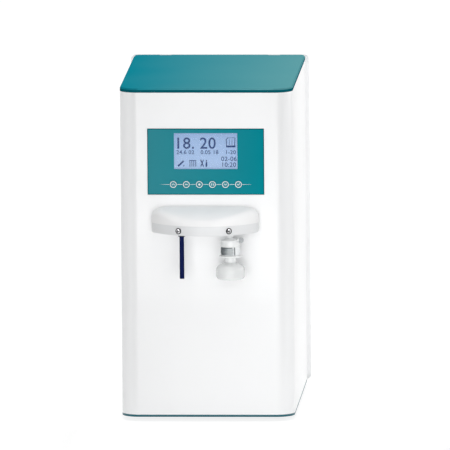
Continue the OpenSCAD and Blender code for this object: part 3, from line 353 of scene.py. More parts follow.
class Finish(Tree):
    """A material, with short calls for the patterns that the finishes here share."""

    def __init__(self, name):
        self.material = bpy.data.materials.new(name)
        self.material.use_nodes = True
        super().__init__(self.material.node_tree)
        self.shader = self.tree.nodes["Principled BSDF"]
        self.place = self.add("ShaderNodeTexCoord").outputs["Object"]

    def stretched(self, scale):
        """Object coordinates scaled on each axis, for brushed or drawn marks."""
        return self.add("ShaderNodeMapping", {"Vector": self.place, "Scale": scale}).outputs["Vector"]

    def sides(self):
        """The three object coordinates, each on its own."""
        return self.add("ShaderNodeSeparateXYZ", {"Vector": self.place}).outputs

    def noise(self, scale, detail=3.0, rough=0.55, vector=None):
        return self.add("ShaderNodeTexNoise", {
            "Vector": vector or self.place, "Scale": scale, "Detail": detail,
            "Roughness": rough}).outputs["Fac"]

    def span(self, value, low, high, from_low=0.3, from_high=0.7):
        return self.add("ShaderNodeMapRange", {
            "Value": value, "From Min": from_low, "From Max": from_high,
            "To Min": low, "To Max": high}).outputs["Result"]

    def blend(self, factor, first, second):
        return self.add("ShaderNodeMix", {0: factor, 6: first, 7: second}, data_type="RGBA").outputs[2]

    def mottled(self, value, colour, dark, light):
        """A colour that drifts between a darker and a lighter shade of itself."""
        return self.blend(self.span(value, 0.0, 1.0), shade(colour, dark), shade(colour, light))

    def bricks(self, width, height, gap, tones, offset=0.5, smooth=0.1):
        """Cells that face the front, in two tones, with lines of a third between them."""
        turned = self.add("ShaderNodeMapping", {"Vector": self.place, "Rotation": (math.radians(90), 0, 0)})
        return self.add("ShaderNodeTexBrick", {
            "Vector": turned.outputs["Vector"], "Scale": 1.0, "Brick Width": width, "Row Height": height,
            "Mortar Size": gap, "Mortar Smooth": smooth, "Color1": tones[0], "Color2": tones[1],
            "Mortar": tones[2]}, offset=offset).outputs

    def bump(self, height, strength, distance):
        node = self.add("ShaderNodeBump", {"Height": height, "Strength": strength, "Distance": distance})
        self.feed(self.shader.inputs["Normal"], node.outputs["Normal"])

    def fix(self, **values):
        """Feeds the shader's own sockets, by their names."""
        for key, value in values.items():
            self.feed(self.shader.inputs[key.replace("_", " ")], value)


# ---------- finishes ----------

def moulded(name, colour, rough=0.42, grain=900.0, depth=0.04, specular=0.5):
    """Moulded plastic: faint flow marks, a spark-eroded grain and slight gloss patches."""
    f = Finish(name)
    f.fix(Base_Color=f.mottled(f.noise(14.0, 2.0), colour, 0.965, 1.02),
          Roughness=f.span(f.noise(60.0, 4.0), rough - 0.05, rough + 0.06), Specular_IOR_Level=specular)
    f.bump(f.noise(grain, 2.0), depth, 0.0002)
    return f.material


def painted(name, colour, rough, peel, depth, specular, coat, drift):
    """Sprayed paint: orange peel, a slow drift of tone and fine dust in the gloss."""
    f = Finish(name)
    f.fix(Base_Color=f.mottled(f.noise(5.0, 1.0), colour, 1 - drift, 1 + drift),
          Roughness=f.span(f.noise(420.0, 3.0), rough - 0.03, rough + 0.05),
          Specular_IOR_Level=specular, Coat_Weight=coat, Coat_Roughness=0.06)
    f.bump(f.noise(peel, 2.0), depth, 0.0003)
    return f.material


def metal(name, colour, rough=0.3, along=(60.0, 60.0, 1500.0)):
    """Plated or stainless metal with fine drawn lines along one axis."""
    f = Finish(name)
    drawn = f.noise(1.0, 4.0, 0.6, f.stretched(along))
    dull = f.math("ADD", f.span(drawn, rough - 0.06, rough + 0.05), f.span(f.noise(35.0), -0.03, 0.05))
    f.fix(Base_Color=f.mottled(drawn, colour, 0.86, 1.06), Roughness=dull, Metallic=1.0)
    f.bump(drawn, 0.05, 0.0001)
    return f.material


def rubber(name, colour):
    """Moulded rubber: matt, dusty in patches, with a coarse grain."""
    f = Finish(name)
    dust = f.noise(45.0, 5.0)
    f.fix(Base_Color=f.blend(f.span(dust, 0.0, 1.0, 0.45, 0.8), colour, shade(colour, 1.9)),
          Roughness=f.span(dust, 0.62, 0.85), Specular_IOR_Level=0.35)
    f.bump(f.noise(700.0, 3.0), 0.2, 0.0003)
    return f.material


def frosted(name, colour, rough, alpha):
    """Milky see-through plastic with faint flow marks."""
    f = Finish(name)
    f.fix(Base_Color=f.mottled(f.noise(30.0, 2.0), colour, 0.96, 1.03),
          Roughness=f.span(f.noise(120.0, 3.0), rough - 0.05, rough + 0.06), IOR=1.45, Alpha=alpha)
    f.bump(f.noise(500.0, 2.0), 0.05, 0.0002)
    return f.material


def extruded(name, colour, rough, specular=0.5):
    """Extruded polyethylene tube: long drawn lines and a soft gloss."""
    f = Finish(name)
    drawn = f.noise(1.0, 3.0, 0.5, f.stretched((900.0, 900.0, 12.0)))
    f.fix(Base_Color=f.mottled(drawn, colour, 0.85, 1.25),
          Roughness=f.span(f.noise(150.0), rough - 0.04, rough + 0.08), Specular_IOR_Level=specular)
    f.bump(drawn, 0.06, 0.0002)
    return f.material


def membrane_print(teal):
    """Printed teal membrane: a fine screen grain, a painted shade line round its edge and a slow change of
    tone across it.
    """
    f = Finish("membrane_print")
    x, _, z = f.sides()
    left = (teal[0] + 0.035, teal[1] * 1.07, teal[2] * 1.04)
    base = f.blend(f.span(x, 0.0, 1.0, PANEL_LO.x, PANEL_HI.x), left, teal)
    half_w, half_h = (PANEL_HI.x - PANEL_LO.x) / 2, (PANEL_HI.z - PANEL_LO.z) / 2
    from_middle = f.math("SUBTRACT", z, (PANEL_HI.z + PANEL_LO.z) / 2)
    from_x = f.math("SUBTRACT", half_w, f.math("ABSOLUTE", x))
    from_z = f.math("SUBTRACT", half_h, f.math("ABSOLUTE", from_middle))
    # Painted shade: a 1.3 mm line round the panel's edge is darkened to 0.42 of the teal.
    edge = f.math("LESS_THAN", f.math("MINIMUM", from_x, from_z), 1.3 * MM)
    with_shade_line = f.blend(edge, base, shade(teal, 0.42))
    grain = f.noise(1600.0, 1.0)
    f.fix(Base_Color=f.blend(f.span(grain, 0.0, 0.04), with_shade_line, (0.05, 0.40, 0.45)),
          Roughness=f.span(f.noise(300.0, 3.0), 0.30, 0.40), Specular_IOR_Level=0.0)
    f.bump(grain, 0.05, 0.0001)
    return f.material


def lid_gloss(teal):
    """Teal gloss paint with painted light: deep at the left, paler and greyer to the right as a painted
    reflection, and darker round the rim as painted shade.
    """
    f = Finish("lid_gloss")
    x, _, z = f.sides()
    across = f.span(x, 0.0, 1.0, LID_LO.x, LID_HI.x)
    drift = f.math("ADD", across, f.span(f.noise(5.0, 1.0), -0.05, 0.05))
    # Painted reflection: the teal turns paler and greyer across the lid towards the right.
    pale = (teal[0] + 0.11, teal[1] * 1.46, teal[2] * 1.22)
    # Painted shade: the rim below the top face is darkened to 0.42 of the teal.
    rim = f.math("LESS_THAN", z, LID_HI.z - 2.2 * MM)
    f.fix(Base_Color=f.blend(rim, f.blend(drift, teal, pale), shade(teal, 0.42)),
          Roughness=f.span(f.noise(420.0, 3.0), 0.42, 0.50), Specular_IOR_Level=0.0)
    f.bump(f.noise(180.0, 2.0), 0.03, 0.0003)
    return f.material


def collar_band(dark_grey):
    """Dark grey band with a painted reflection that makes it paler to the right, with fine drawn lines, a
    dark line along the top over its darker part and a mould seam.
    """
    f = Finish("collar_band")
    x, _, z = f.sides()
    across = f.span(x, 0.0, 1.0, COLLAR_LO.x, COLLAR_HI.x)
    lines = f.noise(1.0, 3.0, 0.6, f.stretched((60.0, 60.0, 900.0)))
    # Painted reflection: the band pales from dark grey at the left to near white at the right, by its place
    # across.
    painted_reflection_share = f.math("ADD", across, f.span(lines, -0.04, 0.04))
    grey = f.blend(f.span(painted_reflection_share, 0.0, 1.0, 0.12, 0.40), dark_grey, (0.40, 0.43, 0.44))
    band = f.blend(f.span(painted_reflection_share, 0.0, 1.0, 0.60, 0.76), grey, (0.86, 0.88, 0.89))
    seam = f.math("LESS_THAN", f.math("ABSOLUTE", f.math("SUBTRACT", across, 0.75)), 0.022)
    upper = f.math("GREATER_THAN", z, COLLAR_HI.z - 1.6 * MM)
    line = f.math("MULTIPLY", upper, f.math("LESS_THAN", across, 0.62))
    f.fix(Base_Color=f.blend(f.math("MAXIMUM", seam, line), band, (0.10, 0.12, 0.13)),
          Roughness=f.span(lines, 0.18, 0.32))
    f.bump(lines, 0.06, 0.0002)
    return f.material


def display_face(pale):
    """Liquid crystal face: a fine cell grid over a backlight that grows paler downwards."""
    f = Finish("display_face")
    cells = f.bricks(0.9 * MM, 0.9 * MM, 0.05 * MM, (pale, shade(pale, 0.99), shade(pale, 0.9)), offset=0.0)
    lower = f.span(f.sides()["Z"], 0.45, 0.0, LCD_LO.z, LCD_HI.z)
    drift = f.math("ADD", lower, f.span(f.noise(9.0, 1.0), 0.0, 0.10))
    face = f.blend(drift, cells["Color"], (0.50, 0.64, 0.85))
    f.fix(Base_Color=face, Emission_Color=face, Emission_Strength=0.12, Specular_IOR_Level=0.2,
          Roughness=f.span(f.noise(200.0), 0.45, 0.6))
    return f.material


def display_lens():
    """Clear tinted window over the display, with a slight waviness."""
    f = Finish("display_lens")
    f.fix(Base_Color=f.blend(f.span(f.noise(30.0), 0.0, 1.0), (0.40, 0.52, 0.76), (0.44, 0.56, 0.80)),
          Roughness=f.span(f.noise(90.0), 0.04, 0.09), Alpha=0.04, Specular_IOR_Level=0.3)
    f.bump(f.noise(12.0), 0.01, 0.0002)
    return f.material


def circuit_board():
    """Green solder mask with traces that show faintly under it."""
    f = Finish("circuit_board")
    greens = ((0.008, 0.085, 0.03), (0.010, 0.10, 0.035), (0.02, 0.17, 0.06))
    tracks = f.bricks(11 * MM, 2.2 * MM, 0.35 * MM, greens, smooth=0.2)
    f.fix(Base_Color=tracks["Color"], Roughness=f.span(f.noise(80.0), 0.28, 0.42))
    f.bump(tracks["Fac"], 0.15, 0.0002)
    return f.material


def pleated_media():
    """Pleated filter membrane: fibrous white with fold shadows."""
    f = Finish("pleated_media")
    fibre = f.noise(1200.0, 4.0)
    f.fix(Base_Color=f.blend(f.span(fibre, 0.0, 1.0), (0.72, 0.73, 0.70), (0.90, 0.90, 0.87)),
          Roughness=f.span(fibre, 0.75, 0.95))
    f.bump(fibre, 0.3, 0.0003)
    return f.material


FINISHES = {}


def make_finishes(scene):
    """Every material of the object, by a plain name."""
    housing, panel, head = scene.uws_housing, scene.uws_panel, scene.uws_head
    capsule, inside = scene.uws_capsule, scene.uws_inside
    FINISHES.update(
        shell=painted("shell_powder_coat", housing.shell_colour, 0.34, 520.0, 0.05, 0.5, 0.25, 0.008),
        # Painted light: the rear sheet has the shell's powder coat made whiter, to lighten its shaded front
        # edge beside the side wall.
        rear_sheet=painted("rear_sheet_coat", (0.965, 0.97, 0.975), 0.34, 520.0, 0.04, 0.5, 0.25, 0.008),
        # Painted shade: the base plate's teal is darkened for the shade on its thin edge.
        base=painted("base_gloss", housing.base_painted_shade_colour, 0.30, 220.0, 0.04, 0.4, 0.0, 0.04),
        lid=lid_gloss(housing.lid_colour),
        membrane=membrane_print(panel.membrane_colour),
        key_face=moulded("key_membrane", shade(panel.membrane_colour, 0.95), 0.35, 1400.0, 0.05, 0.4),
        print=moulded("white_print", panel.print_colour, 0.5, 2000.0, 0.03, 0.3),
        lcd=display_face(panel.lcd_colour),
        lens=display_lens(),
        segment=moulded("display_segment", panel.segment_colour, 0.5, 900.0, 0.02, 0.2),
        cover=moulded("head_cover_plastic", head.cover_colour, 0.5, 1100.0, 0.04, 0.15),
        # Painted shade: the tray is the cover's white plastic, darkened.
        tray=moulded("head_tray_plastic", head.tray_painted_shade_colour, 0.40, 1100.0, 0.05),
        white_plastic=moulded("white_plastic", (0.80, 0.81, 0.82), 0.4, 900.0, 0.05),
        frosted=frosted("frosted_capsule", capsule.frosted_colour, 0.28, 0.9),
        bell=frosted("frosted_bell", capsule.frosted_colour, 0.16, 0.55),
        collar=collar_band(capsule.collar_colour),
        knob=moulded("vent_knob_grey", (0.42, 0.44, 0.45), 0.4, 800.0, 0.05, 0.3),
        tube=extruded("outlet_tube_blue", capsule.tube_colour, 0.5, 0.08),
        connector=moulded("connector_dark", (0.012, 0.016, 0.035), 0.35, 700.0, 0.05),
        hose=extruded("inner_hose_white", inside.hose_colour, 0.35),
        product=extruded("inner_hose_blue", inside.product_colour, 0.3),
        cap=moulded("cartridge_cap_blue", inside.cap_colour, 0.38, 600.0, 0.08),
        cartridge=moulded("cartridge_white", (0.78, 0.80, 0.82), 0.32, 400.0, 0.05),
        polishing=moulded("cartridge_pale_blue", (0.55, 0.70, 0.84), 0.30, 400.0, 0.05),
        steel=metal("plated_steel", (0.62, 0.63, 0.65)),
        bright_steel=metal("bright_screw_steel", (0.93, 0.93, 0.94), 0.22),
        sheet_steel=metal("brushed_sheet", (0.58, 0.60, 0.62), 0.36, (30.0, 900.0, 900.0)),
        stainless=metal("lamp_chamber_steel", (0.66, 0.66, 0.66), 0.18, (700.0, 700.0, 20.0)),
        brass=metal("brass_post", (0.66, 0.48, 0.20), 0.28, (900.0, 60.0, 900.0)),
        motor=metal("motor_can", (0.45, 0.46, 0.48), 0.34, (1200.0, 60.0, 60.0)),
        black=moulded("black_plastic", (0.018, 0.019, 0.021), 0.42, 700.0, 0.08),
        pump=moulded("pump_casting", (0.022, 0.024, 0.027), 0.5, 260.0, 0.2),
        rubber=rubber("foot_rubber", (0.022, 0.022, 0.024)),
        red=moulded("rocker_red", (0.52, 0.018, 0.012), 0.3, 900.0, 0.04),
        board=circuit_board(),
        pleats=pleated_media(),
    )


# ---------- camera, lights and floor ----------

VIEW_YAW = math.radians(3.3268)
VIEW_ELEVATION = math.radians(8.08)
VIEW_ROLL = math.radians(-0.4376)
VIEW_TARGET = Vector((0.02080, 0.0, 0.31534))
VIEW_DISTANCE = 34.821
LENS = 1600.0
FLOOR_HALF = 6.0
FLOOR_WHITE = 1.2

# Soft lights: name, place, what it points at, width, height, name of its power setting
LIGHTS = (
    ("front_softbox", (0.06, -1.7, 0.15), (0.04, 0.0, 0.20), 1.4, 0.5, "front_light"),
    ("right_softbox", (2.8, 0.8, 0.9), (0.1, 0.0, 0.3), 1.8, 1.6, "side_light"),
    ("top_softbox", (0.0, -0.6, 3.0), (0.0, -0.3, 0.3), 1.6, 1.2, "top_light"),
    ("edge_softbox", (1.44, -1.26, 0.33), (0.15, 0.27, 0.30), 0.3, 0.5, "edge_light"),
    ("low_softbox", (0.0, -1.15, 0.62), (0.0, -1.15, 0.0), 1.4, 0.5, "low_light"),
)
# Dark upright cards that shade one side of the object: name, centre, width, height, turn in degrees
CARDS = (
    ("left_card", (-0.22, -0.46, 0.42), 0.34, 0.9, 90),
    ("right_front_card", (0.44, -0.52, 0.36), 0.32, 0.9, 45),
)


def make_camera():
    """Camera at the photograph's angle, far away with a long lens."""
    level = math.cos(VIEW_ELEVATION)
    back = Vector((math.sin(VIEW_YAW) * level, -math.cos(VIEW_YAW) * level, math.sin(VIEW_ELEVATION)))
    right = Vector((math.cos(VIEW_YAW), math.sin(VIEW_YAW), 0.0))
    up = back.cross(right)
    rolled_right = right * math.cos(VIEW_ROLL) + up * math.sin(VIEW_ROLL)
    rolled_up = up * math.cos(VIEW_ROLL) - right * math.sin(VIEW_ROLL)
    data = bpy.data.cameras.new("view")
    data.lens = LENS
    data.clip_end = 120.0
    camera = link(bpy.data.objects.new("view", data))
    turn = Matrix((rolled_right, rolled_up, back)).transposed().to_4x4()
    camera.matrix_world = Matrix.Translation(VIEW_TARGET + back * VIEW_DISTANCE) @ turn
    bpy.context.scene.camera = camera


def make_light(name, place, target, width, height, power):
    """A large soft rectangle that points at the object."""
    data = bpy.data.lights.new(name, "AREA")
    data.shape = "RECTANGLE"
    data.size, data.size_y = width, height
    data.energy = power
    lamp = link(bpy.data.objects.new(name, data))
    lamp.location = place
    lamp.rotation_mode = "QUATERNION"
    lamp.rotation_quaternion = (Vector(place) - Vector(target)).to_track_quat("Z", "Y")


def white_to_the_eye(tree, dim, bright):
    """A value that is bright for the camera, glossy and transmitted rays, and dim for the rest."""
    rays = tree.add("ShaderNodeLightPath").outputs
    seen = tree.math("MAXIMUM", rays["Is Camera Ray"], rays["Is Glossy Ray"])
    seen = tree.math("MAXIMUM", seen, rays["Is Transmission Ray"])
    return tree.add("ShaderNodeMix", {0: seen, 2: dim, 3: bright}).outputs[0]


def make_world(stage):
    """An even white room on every side."""
    world = bpy.data.worlds.new("studio")
    bpy.context.scene.world = world
    world.use_nodes = True
    tree = Tree(world.node_tree)
    background = tree.tree.nodes["Background"].inputs
    tree.feed(background["Color"], (1.0, 1.0, 1.0))
    tree.feed(background["Strength"], white_to_the_eye(tree, stage.room_light, 1.0))


def make_floor(stage):
    """Pale, slightly uneven floor; it keeps the object's shadow and looks nearly white to the camera."""
    bm = bmesh.new()
    bmesh.ops.create_grid(bm, x_segments=8, y_segments=8, size=FLOOR_HALF)
    f = Finish("studio_floor")
    matt = f.add("ShaderNodeBsdfDiffuse", {
        "Color": f.mottled(f.noise(2.0, 2.0), stage.floor_colour, 0.995, 1.005)})
    white = f.add("ShaderNodeEmission", {"Strength": FLOOR_WHITE})
    seen = white_to_the_eye(f, 0.0, stage.floor_glow)
    both = f.add("ShaderNodeMixShader", {0: seen, 1: matt.outputs["BSDF"], 2: white.outputs["Emission"]})
    f.feed(f.tree.nodes["Material Output"].inputs["Surface"], both.outputs["Shader"])
    piece_from(bm, "studio_floor", f.material)


def make_card(name, centre, width, height, turn):
    """A dark upright card beside the object, out of the camera's sight."""
    bm = bmesh.new()
    bmesh.ops.create_grid(bm, x_segments=2, y_segments=2, size=0.5)
    bm.transform(Matrix.Translation(centre) @ Matrix.Rotation(math.radians(turn), 4, "Z")
                 @ Matrix.Rotation(math.radians(90), 4, "X") @ Matrix.Diagonal((width, height, 1.0, 1.0)))
    f = Finish(name)
    f.fix(Base_Color=f.blend(f.noise(6.0), (0.02, 0.02, 0.02), (0.03, 0.03, 0.03)), Roughness=0.9)
    card = piece_from(bm, name, f.material)
    card.visible_camera = False


class UWS_OT_stage(bpy.types.Operator):
    """Makes the camera, the soft lights, the room, the dark cards and the pale floor."""
    bl_idname = "uws.stage"
    bl_label = "Studio stage"

    def execute(self, context):
        stage = context.scene.uws_stage
        context.scene.view_settings.view_transform = "Standard"
        make_camera()
        make_world(stage)
        make_floor(stage)
        for card in CARDS:
            make_card(*card)
        for *light, power in LIGHTS:
            make_light(*light, getattr(stage, power))
        return {"FINISHED"}


# ---------- outlet tube, the one hose outside ----------

TUBE_RINGS = 25
TUBE_WALL = 1.4 * MM
TUBE_LIP = 0.35 * MM


class UWS_OT_outlet_tube(bpy.types.Operator):
    """Makes the dark blue outlet tube, hollow and open at its lower end."""
    bl_idname = "uws.outlet_tube"
    bl_label = "Outlet tube"

    def execute(self, context):
        top, low = TUBE_HI.z, TUBE_LO.z
        r_out = (TUBE_HI.x - TUBE_LO.x) / 2
        r_in = r_out - TUBE_WALL
        heights = [top + (low - top) * k / (TUBE_RINGS - 1) for k in range(TUBE_RINGS)]
        route = [Vector((*TUBE_PLACE, z)) for z in heights]
        profile = [(r_out, p.z) for p in route[:-1]]
        profile += arc_points(r_out - TUBE_LIP, low + TUBE_LIP, TUBE_LIP, 0, -90, 4)
        profile += arc_points(r_in + TUBE_LIP, low + TUBE_LIP, TUBE_LIP, -90, -180, 4)
        profile += [(r_in, p.z) for p in reversed(route[:-1])]
        bm = bmesh.new()
        lathe(bm, profile, 48, TUBE_PLACE)
        tube = piece_from(bm, "blue_outlet_tube", FINISHES["tube"], 50)
        take(tube, "blue_tube", "outlet_tube")
        tuple(route[0])
        [tuple(p) for p in route]
        edged_copy("tube_connector", "outlet_tube_socket", "connector", 0.5 * MM, "black_plastic", 3)
        return {"FINISHED"}


# ---------- screws, ribs and hoses, by geometry nodes ----------

class Maker(Tree):
    """A geometry node tree, with short calls for the steps that the trees here share."""

    def __init__(self, name, inputs):
        super().__init__(bpy.data.node_groups.new(name, "GeometryNodeTree"))
        face = self.tree.interface
        face.new_socket("Geometry", in_out="INPUT", socket_type="NodeSocketGeometry")
        for label, default in inputs.items():
            kind = "NodeSocketInt" if isinstance(default, int) else "NodeSocketFloat"
            face.new_socket(label, in_out="INPUT", socket_type=kind).default_value = default
        face.new_socket("Material", in_out="INPUT", socket_type="NodeSocketMaterial")
        face.new_socket("Geometry", in_out="OUTPUT", socket_type="NodeSocketGeometry")
        self.given = self.tree.nodes.new("NodeGroupInput").outputs

    def vector(self, x=0.0, y=0.0, z=0.0):
        return self.add("ShaderNodeCombineXYZ", {0: x, 1: y, 2: z}).outputs[0]

    def raised(self, mesh, height):
        return self.add("GeometryNodeTransform", {
            "Geometry": mesh, "Translation": self.vector(z=height)}).outputs["Geometry"]

    def cone(self, low_r, high_r, height, base, facets):
        node = self.add("GeometryNodeMeshCone", {
            "Vertices": facets, "Radius Bottom": low_r, "Radius Top": high_r, "Depth": height})
        return self.raised(node.outputs["Mesh"], base)

    def slot_cutter(self, length, width, depth, base, spin):
        cube = self.add("GeometryNodeMeshCube", {"Size": self.vector(length, width, depth)})
        turned = self.add("GeometryNodeTransform", {
            "Geometry": cube.outputs["Mesh"], "Rotation": (0.0, 0.0, math.radians(spin))})
        return self.raised(turned.outputs["Geometry"], base)

    def without(self, mesh, tool):
        return self.add("GeometryNodeMeshBoolean", {"Mesh 1": mesh, "Mesh 2": tool},
                        operation="DIFFERENCE").outputs["Mesh"]

    def joined(self, *meshes):
        node = self.add("GeometryNodeJoinGeometry")
        for mesh in meshes:
            self.feed(node.inputs[0], mesh)
        return node.outputs[0]

    def on_points(self, points, instance, inputs=None):
        node = self.add("GeometryNodeInstanceOnPoints", {
            "Points": points, "Instance": instance, **(inputs or {})})
        return self.real(node.outputs["Instances"])

    def real(self, geometry):
        return self.add("GeometryNodeRealizeInstances", {"Geometry": geometry}).outputs["Geometry"]

    def finished(self, geometry):
        paint = self.add("GeometryNodeSetMaterial", {
            "Geometry": self.real(geometry), "Material": self.given["Material"]})
        self.add("NodeGroupOutput", {"Geometry": paint.outputs["Geometry"]})
        return self.tree


def screw_tree():
    """Pan-head screws with a cross recess and a washer, one on each point, along its own direction."""
    t = Maker("screws_on_points", {
        "Head radius": 0.003, "Head height": 0.0019, "Shank radius": 0.0016, "Shank length": 0.006,
        "Washer radius": 0.0, "Washer thickness": 0.0})
    head_r, head_h, shank_r, shank_l, washer_r, washer_t = list(t.given)[1:7]
    skirt_r, crown_r = t.math("MULTIPLY", head_r, 0.93), t.math("MULTIPLY", head_r, 0.62)
    skirt_h, crown_h = t.math("MULTIPLY", head_h, 0.55), t.math("MULTIPLY", head_h, 0.45)
    skirt = t.cone(head_r, skirt_r, skirt_h, washer_t, 32)
    crown = t.cone(skirt_r, crown_r, crown_h, t.math("ADD", washer_t, skirt_h), 32)
    top = t.math("ADD", washer_t, head_h)
    long, short = t.math("MULTIPLY", head_r, 1.15), t.math("MULTIPLY", head_r, 0.26)
    for spin in (45, 135):
        crown = t.without(crown, t.slot_cutter(long, short, head_h, top, spin))
    shank = t.cone(shank_r, shank_r, shank_l, t.math("MULTIPLY", shank_l, -1.0), 20)
    washer = t.cone(washer_r, washer_r, washer_t, 0.0, 40)
    way = t.add("GeometryNodeInputNamedAttribute", {"Name": "way"}, data_type="FLOAT_VECTOR")
    aim = t.add("FunctionNodeAlignRotationToVector", {"Vector": way.outputs["Attribute"]}, axis="Z")
    whole = t.joined(skirt, crown, shank, washer)
    return t.finished(t.on_points(t.given["Geometry"], whole, {"Rotation": aim.outputs["Rotation"]}))


def rib_tree():
    """Upright grip ribs in a ring round the axis at each place."""
    t = Maker("grip_ribs", {"Ribs": 24, "Ring radius": 0.016, "Rib radius": 0.0006, "Rib height": 0.01})
    circle = t.add("GeometryNodeMeshCircle", {"Vertices": t.given["Ribs"], "Radius": t.given["Ring radius"]})
    rib = t.add("GeometryNodeMeshCylinder", {
        "Vertices": 8, "Radius": t.given["Rib radius"], "Depth": t.given["Rib height"]})
    ring = t.on_points(circle.outputs["Mesh"], rib.outputs["Mesh"])
    return t.finished(t.on_points(t.given["Geometry"], ring))


def hose_tree():
    """A round hose along each line of points, with its corners rounded to one radius."""
    t = Maker("hoses_on_lines", {"Hose radius": 0.004, "Bend radius": 0.016, "Steps": 8, "Facets": 20})
    line = t.add("GeometryNodeMeshToCurve", {"Mesh": t.given["Geometry"]})
    bend = t.add("GeometryNodeFilletCurve", {
        "Curve": line.outputs["Curve"], "Radius": t.given["Bend radius"],
        "Count": t.given["Steps"]}, mode="POLY")
    section = t.add("GeometryNodeCurvePrimitiveCircle", {
        "Resolution": t.given["Facets"], "Radius": t.given["Hose radius"]})
    sweep = t.add("GeometryNodeCurveToMesh", {
        "Curve": bend.outputs["Curve"], "Profile Curve": section.outputs["Curve"], "Fill Caps": True})
    return t.finished(sweep.outputs["Mesh"])


def run_tree(name, mesh, tree, values, finish, sharp=30):
    """Runs a node tree on a mesh of places or lines; its inputs are set by their sockets' identifiers."""
    obj = link(bpy.data.objects.new(name + "_places", mesh))
    modifier = obj.modifiers.new("made", "NODES")
    modifier.node_group = tree
    inputs = {item.name: item.identifier for item in tree.interface.items_tree if item.in_out == "INPUT"}
    for label, value in {**values, "Material": FINISHES[finish]}.items():
        modifier[inputs[label]] = value
    made = plain_mesh(obj, name)
    bm = bmesh.new()
    bm.from_mesh(made)
    close_mesh(bm, made, sharp)
    return link(bpy.data.objects.new(name, made))


def points_mesh(points, ways=()):
    """Loose points, with a direction each where something is stood on them."""
    mesh = bpy.data.meshes.new("places")
    mesh.from_pydata(points, [], [])
    if ways:
        stored = mesh.attributes.new("way", "FLOAT_VECTOR", "POINT")
        for k, way in enumerate(ways):
            stored.data[k].vector = way
    return mesh


def lines_mesh(routes):
    """Loose lines of edges through the points of each route, in millimetres."""
    mesh = bpy.data.meshes.new("lines")
    points, edges = [], []
    for route in routes:
        edges += [(len(points) + k, len(points) + k + 1) for k in range(len(route) - 1)]
        points += [tuple(c * MM for c in p) for p in route]
    mesh.from_pydata(points, edges, [])
    return mesh


def loose_solids(bm):
    """The vertices of each solid of a mesh that touches no other."""
    left = set(bm.verts)
    while left:
        group, queue = set(), [left.pop()]
        while queue:
            vert = queue.pop()
            group.add(vert)
            near = {edge.other_vert(vert) for edge in vert.link_edges} & left
            left -= near
            queue += near
        yield group


def screw_places(node, way, head_height):
    """Where the screws of a frame node stand: one for each loose solid, at the end that the head sits on."""
    bm = joined_node(node)
    axis = max(range(3), key=lambda i: abs(way[i]))
    points = []
    for group in loose_solids(bm):
        low, high = (Vector([pick(v.co[i] for v in group) for i in range(3)]) for pick in (min, max))
        point = (low + high) / 2
        point[axis] = (high[axis] if way[axis] > 0 else low[axis]) - way[axis] * head_height
        points.append(tuple(point))
    bm.free()
    return points_mesh(sorted(points), [Vector(way)] * len(points))


# ---------- housing and lid ----------

DOWN, REARWARD = (0, 0, -1), (0, 1, 0)


class UWS_OT_housing(bpy.types.Operator):
    """Makes the white wrapped shell, the base plate, the feet and the housing's screws."""
    bl_idname = "uws.housing"
    bl_label = "Housing"

    def execute(self, context):
        housing = context.scene.uws_housing
        edged_copy("housing_shell", "wrapped_shell", "shell", housing.edge_radius, "white_shell")
        edged_copy("base_plate", "teal_base_plate", "base", housing.edge_radius, "teal_gloss")
        edged_copy("feet", "rubber_feet", "rubber", 0.8 * MM, "rubber", 3)
        tree = screw_tree()
        for node, way, head_r, head_h, shank_r, shank_l in (
                ("foot_screws", DOWN, 4.0 * MM, 2.4 * MM, 2.0 * MM, 8.0 * MM),
                ("base_screws", DOWN, 3.0 * MM, 1.8 * MM, 1.6 * MM, 4.5 * MM),
                ("rear_panel_screws", REARWARD, housing.rear_screw_head, 1.9 * MM, 1.6 * MM, 7.5 * MM),
                ("head_mount_screws", REARWARD, 3.5 * MM, 2.0 * MM, 1.8 * MM, 10.5 * MM)):
            made = run_tree(node + "_dressed", screw_places(node, way, head_h), tree, {
                "Head radius": head_r, "Head height": head_h,
                "Shank radius": shank_r, "Shank length": shank_l}, "steel")
            take(made, "steel", node)
        return {"FINISHED"}


class UWS_OT_lid(bpy.types.Operator):
    """Makes the teal lid with its rounded edge, and its hinges."""
    bl_idname = "uws.lid"
    bl_label = "Lid"

    def execute(self, context):
        edged_copy("lid", "teal_lid", "lid", 0.3 * MM, "teal_gloss", body="lid")
        edged_copy("hinge_brackets", "lid_hinge_brackets", "steel", 0.3 * MM, "steel")
        dress("hinge_pins", "steel")
        return {"FINISHED"}


# ---------- rear panel ----------

class UWS_OT_rear_panel(bpy.types.Operator):
    """Makes the rear panel with its louvres, water ports, power inlet and switch."""
    bl_idname = "uws.rear_panel"
    bl_label = "Rear panel"

    def execute(self, context):
        edged_copy("rear_panel", "rear_sheet", "rear_sheet", 0.3 * MM, "white_shell")
        edged_copy("rear_ports", "water_ports", "white_plastic", 0.5 * MM, "white_plastic", 3)
        edged_copy("port_nuts", "water_port_nuts", "white_plastic", 0.5 * MM, "white_plastic")
        edged_copy("power_inlet", "mains_inlet", "black", 0.4 * MM, "black_plastic")
        edged_copy("switch_frame", "mains_switch_frame", "black", 0.3 * MM, "black_plastic")
        edged_copy("power_rocker", "mains_rocker", "red", 0.35 * MM, "red_rocker", 3, "power_rocker")
        return {"FINISHED"}


# ---------- control panel ----------

# Texts of the display: place in millimetres right of and below the window's corner, and height,
# which is the large digits' where none is given
SMALL_TEXT, TIME_TEXT = 7.2 * MM, 8.2 * MM
LCD_RECESS = 1 * MM
INK_THICK, INK_RISE = 0.2 * MM, 0.18 * MM
FONT_SIZE, FONT_WEIGHT, FONT_SPACING = 1.36, 0.012, 1.06
DISPLAY_TEXT = (
    ("18.", 0.5, 27.4, None), ("20", 44.4, 27.4, None),
    ("24.6 02", 4.0, 37.0, SMALL_TEXT), ("0.05 18", 46.0, 37.0, SMALL_TEXT), ("1-20", 88.5, 37.0, SMALL_TEXT),
    ("02-06", 81.5, 49.0, TIME_TEXT), ("10:20", 81.5, 59.3, TIME_TEXT),
)
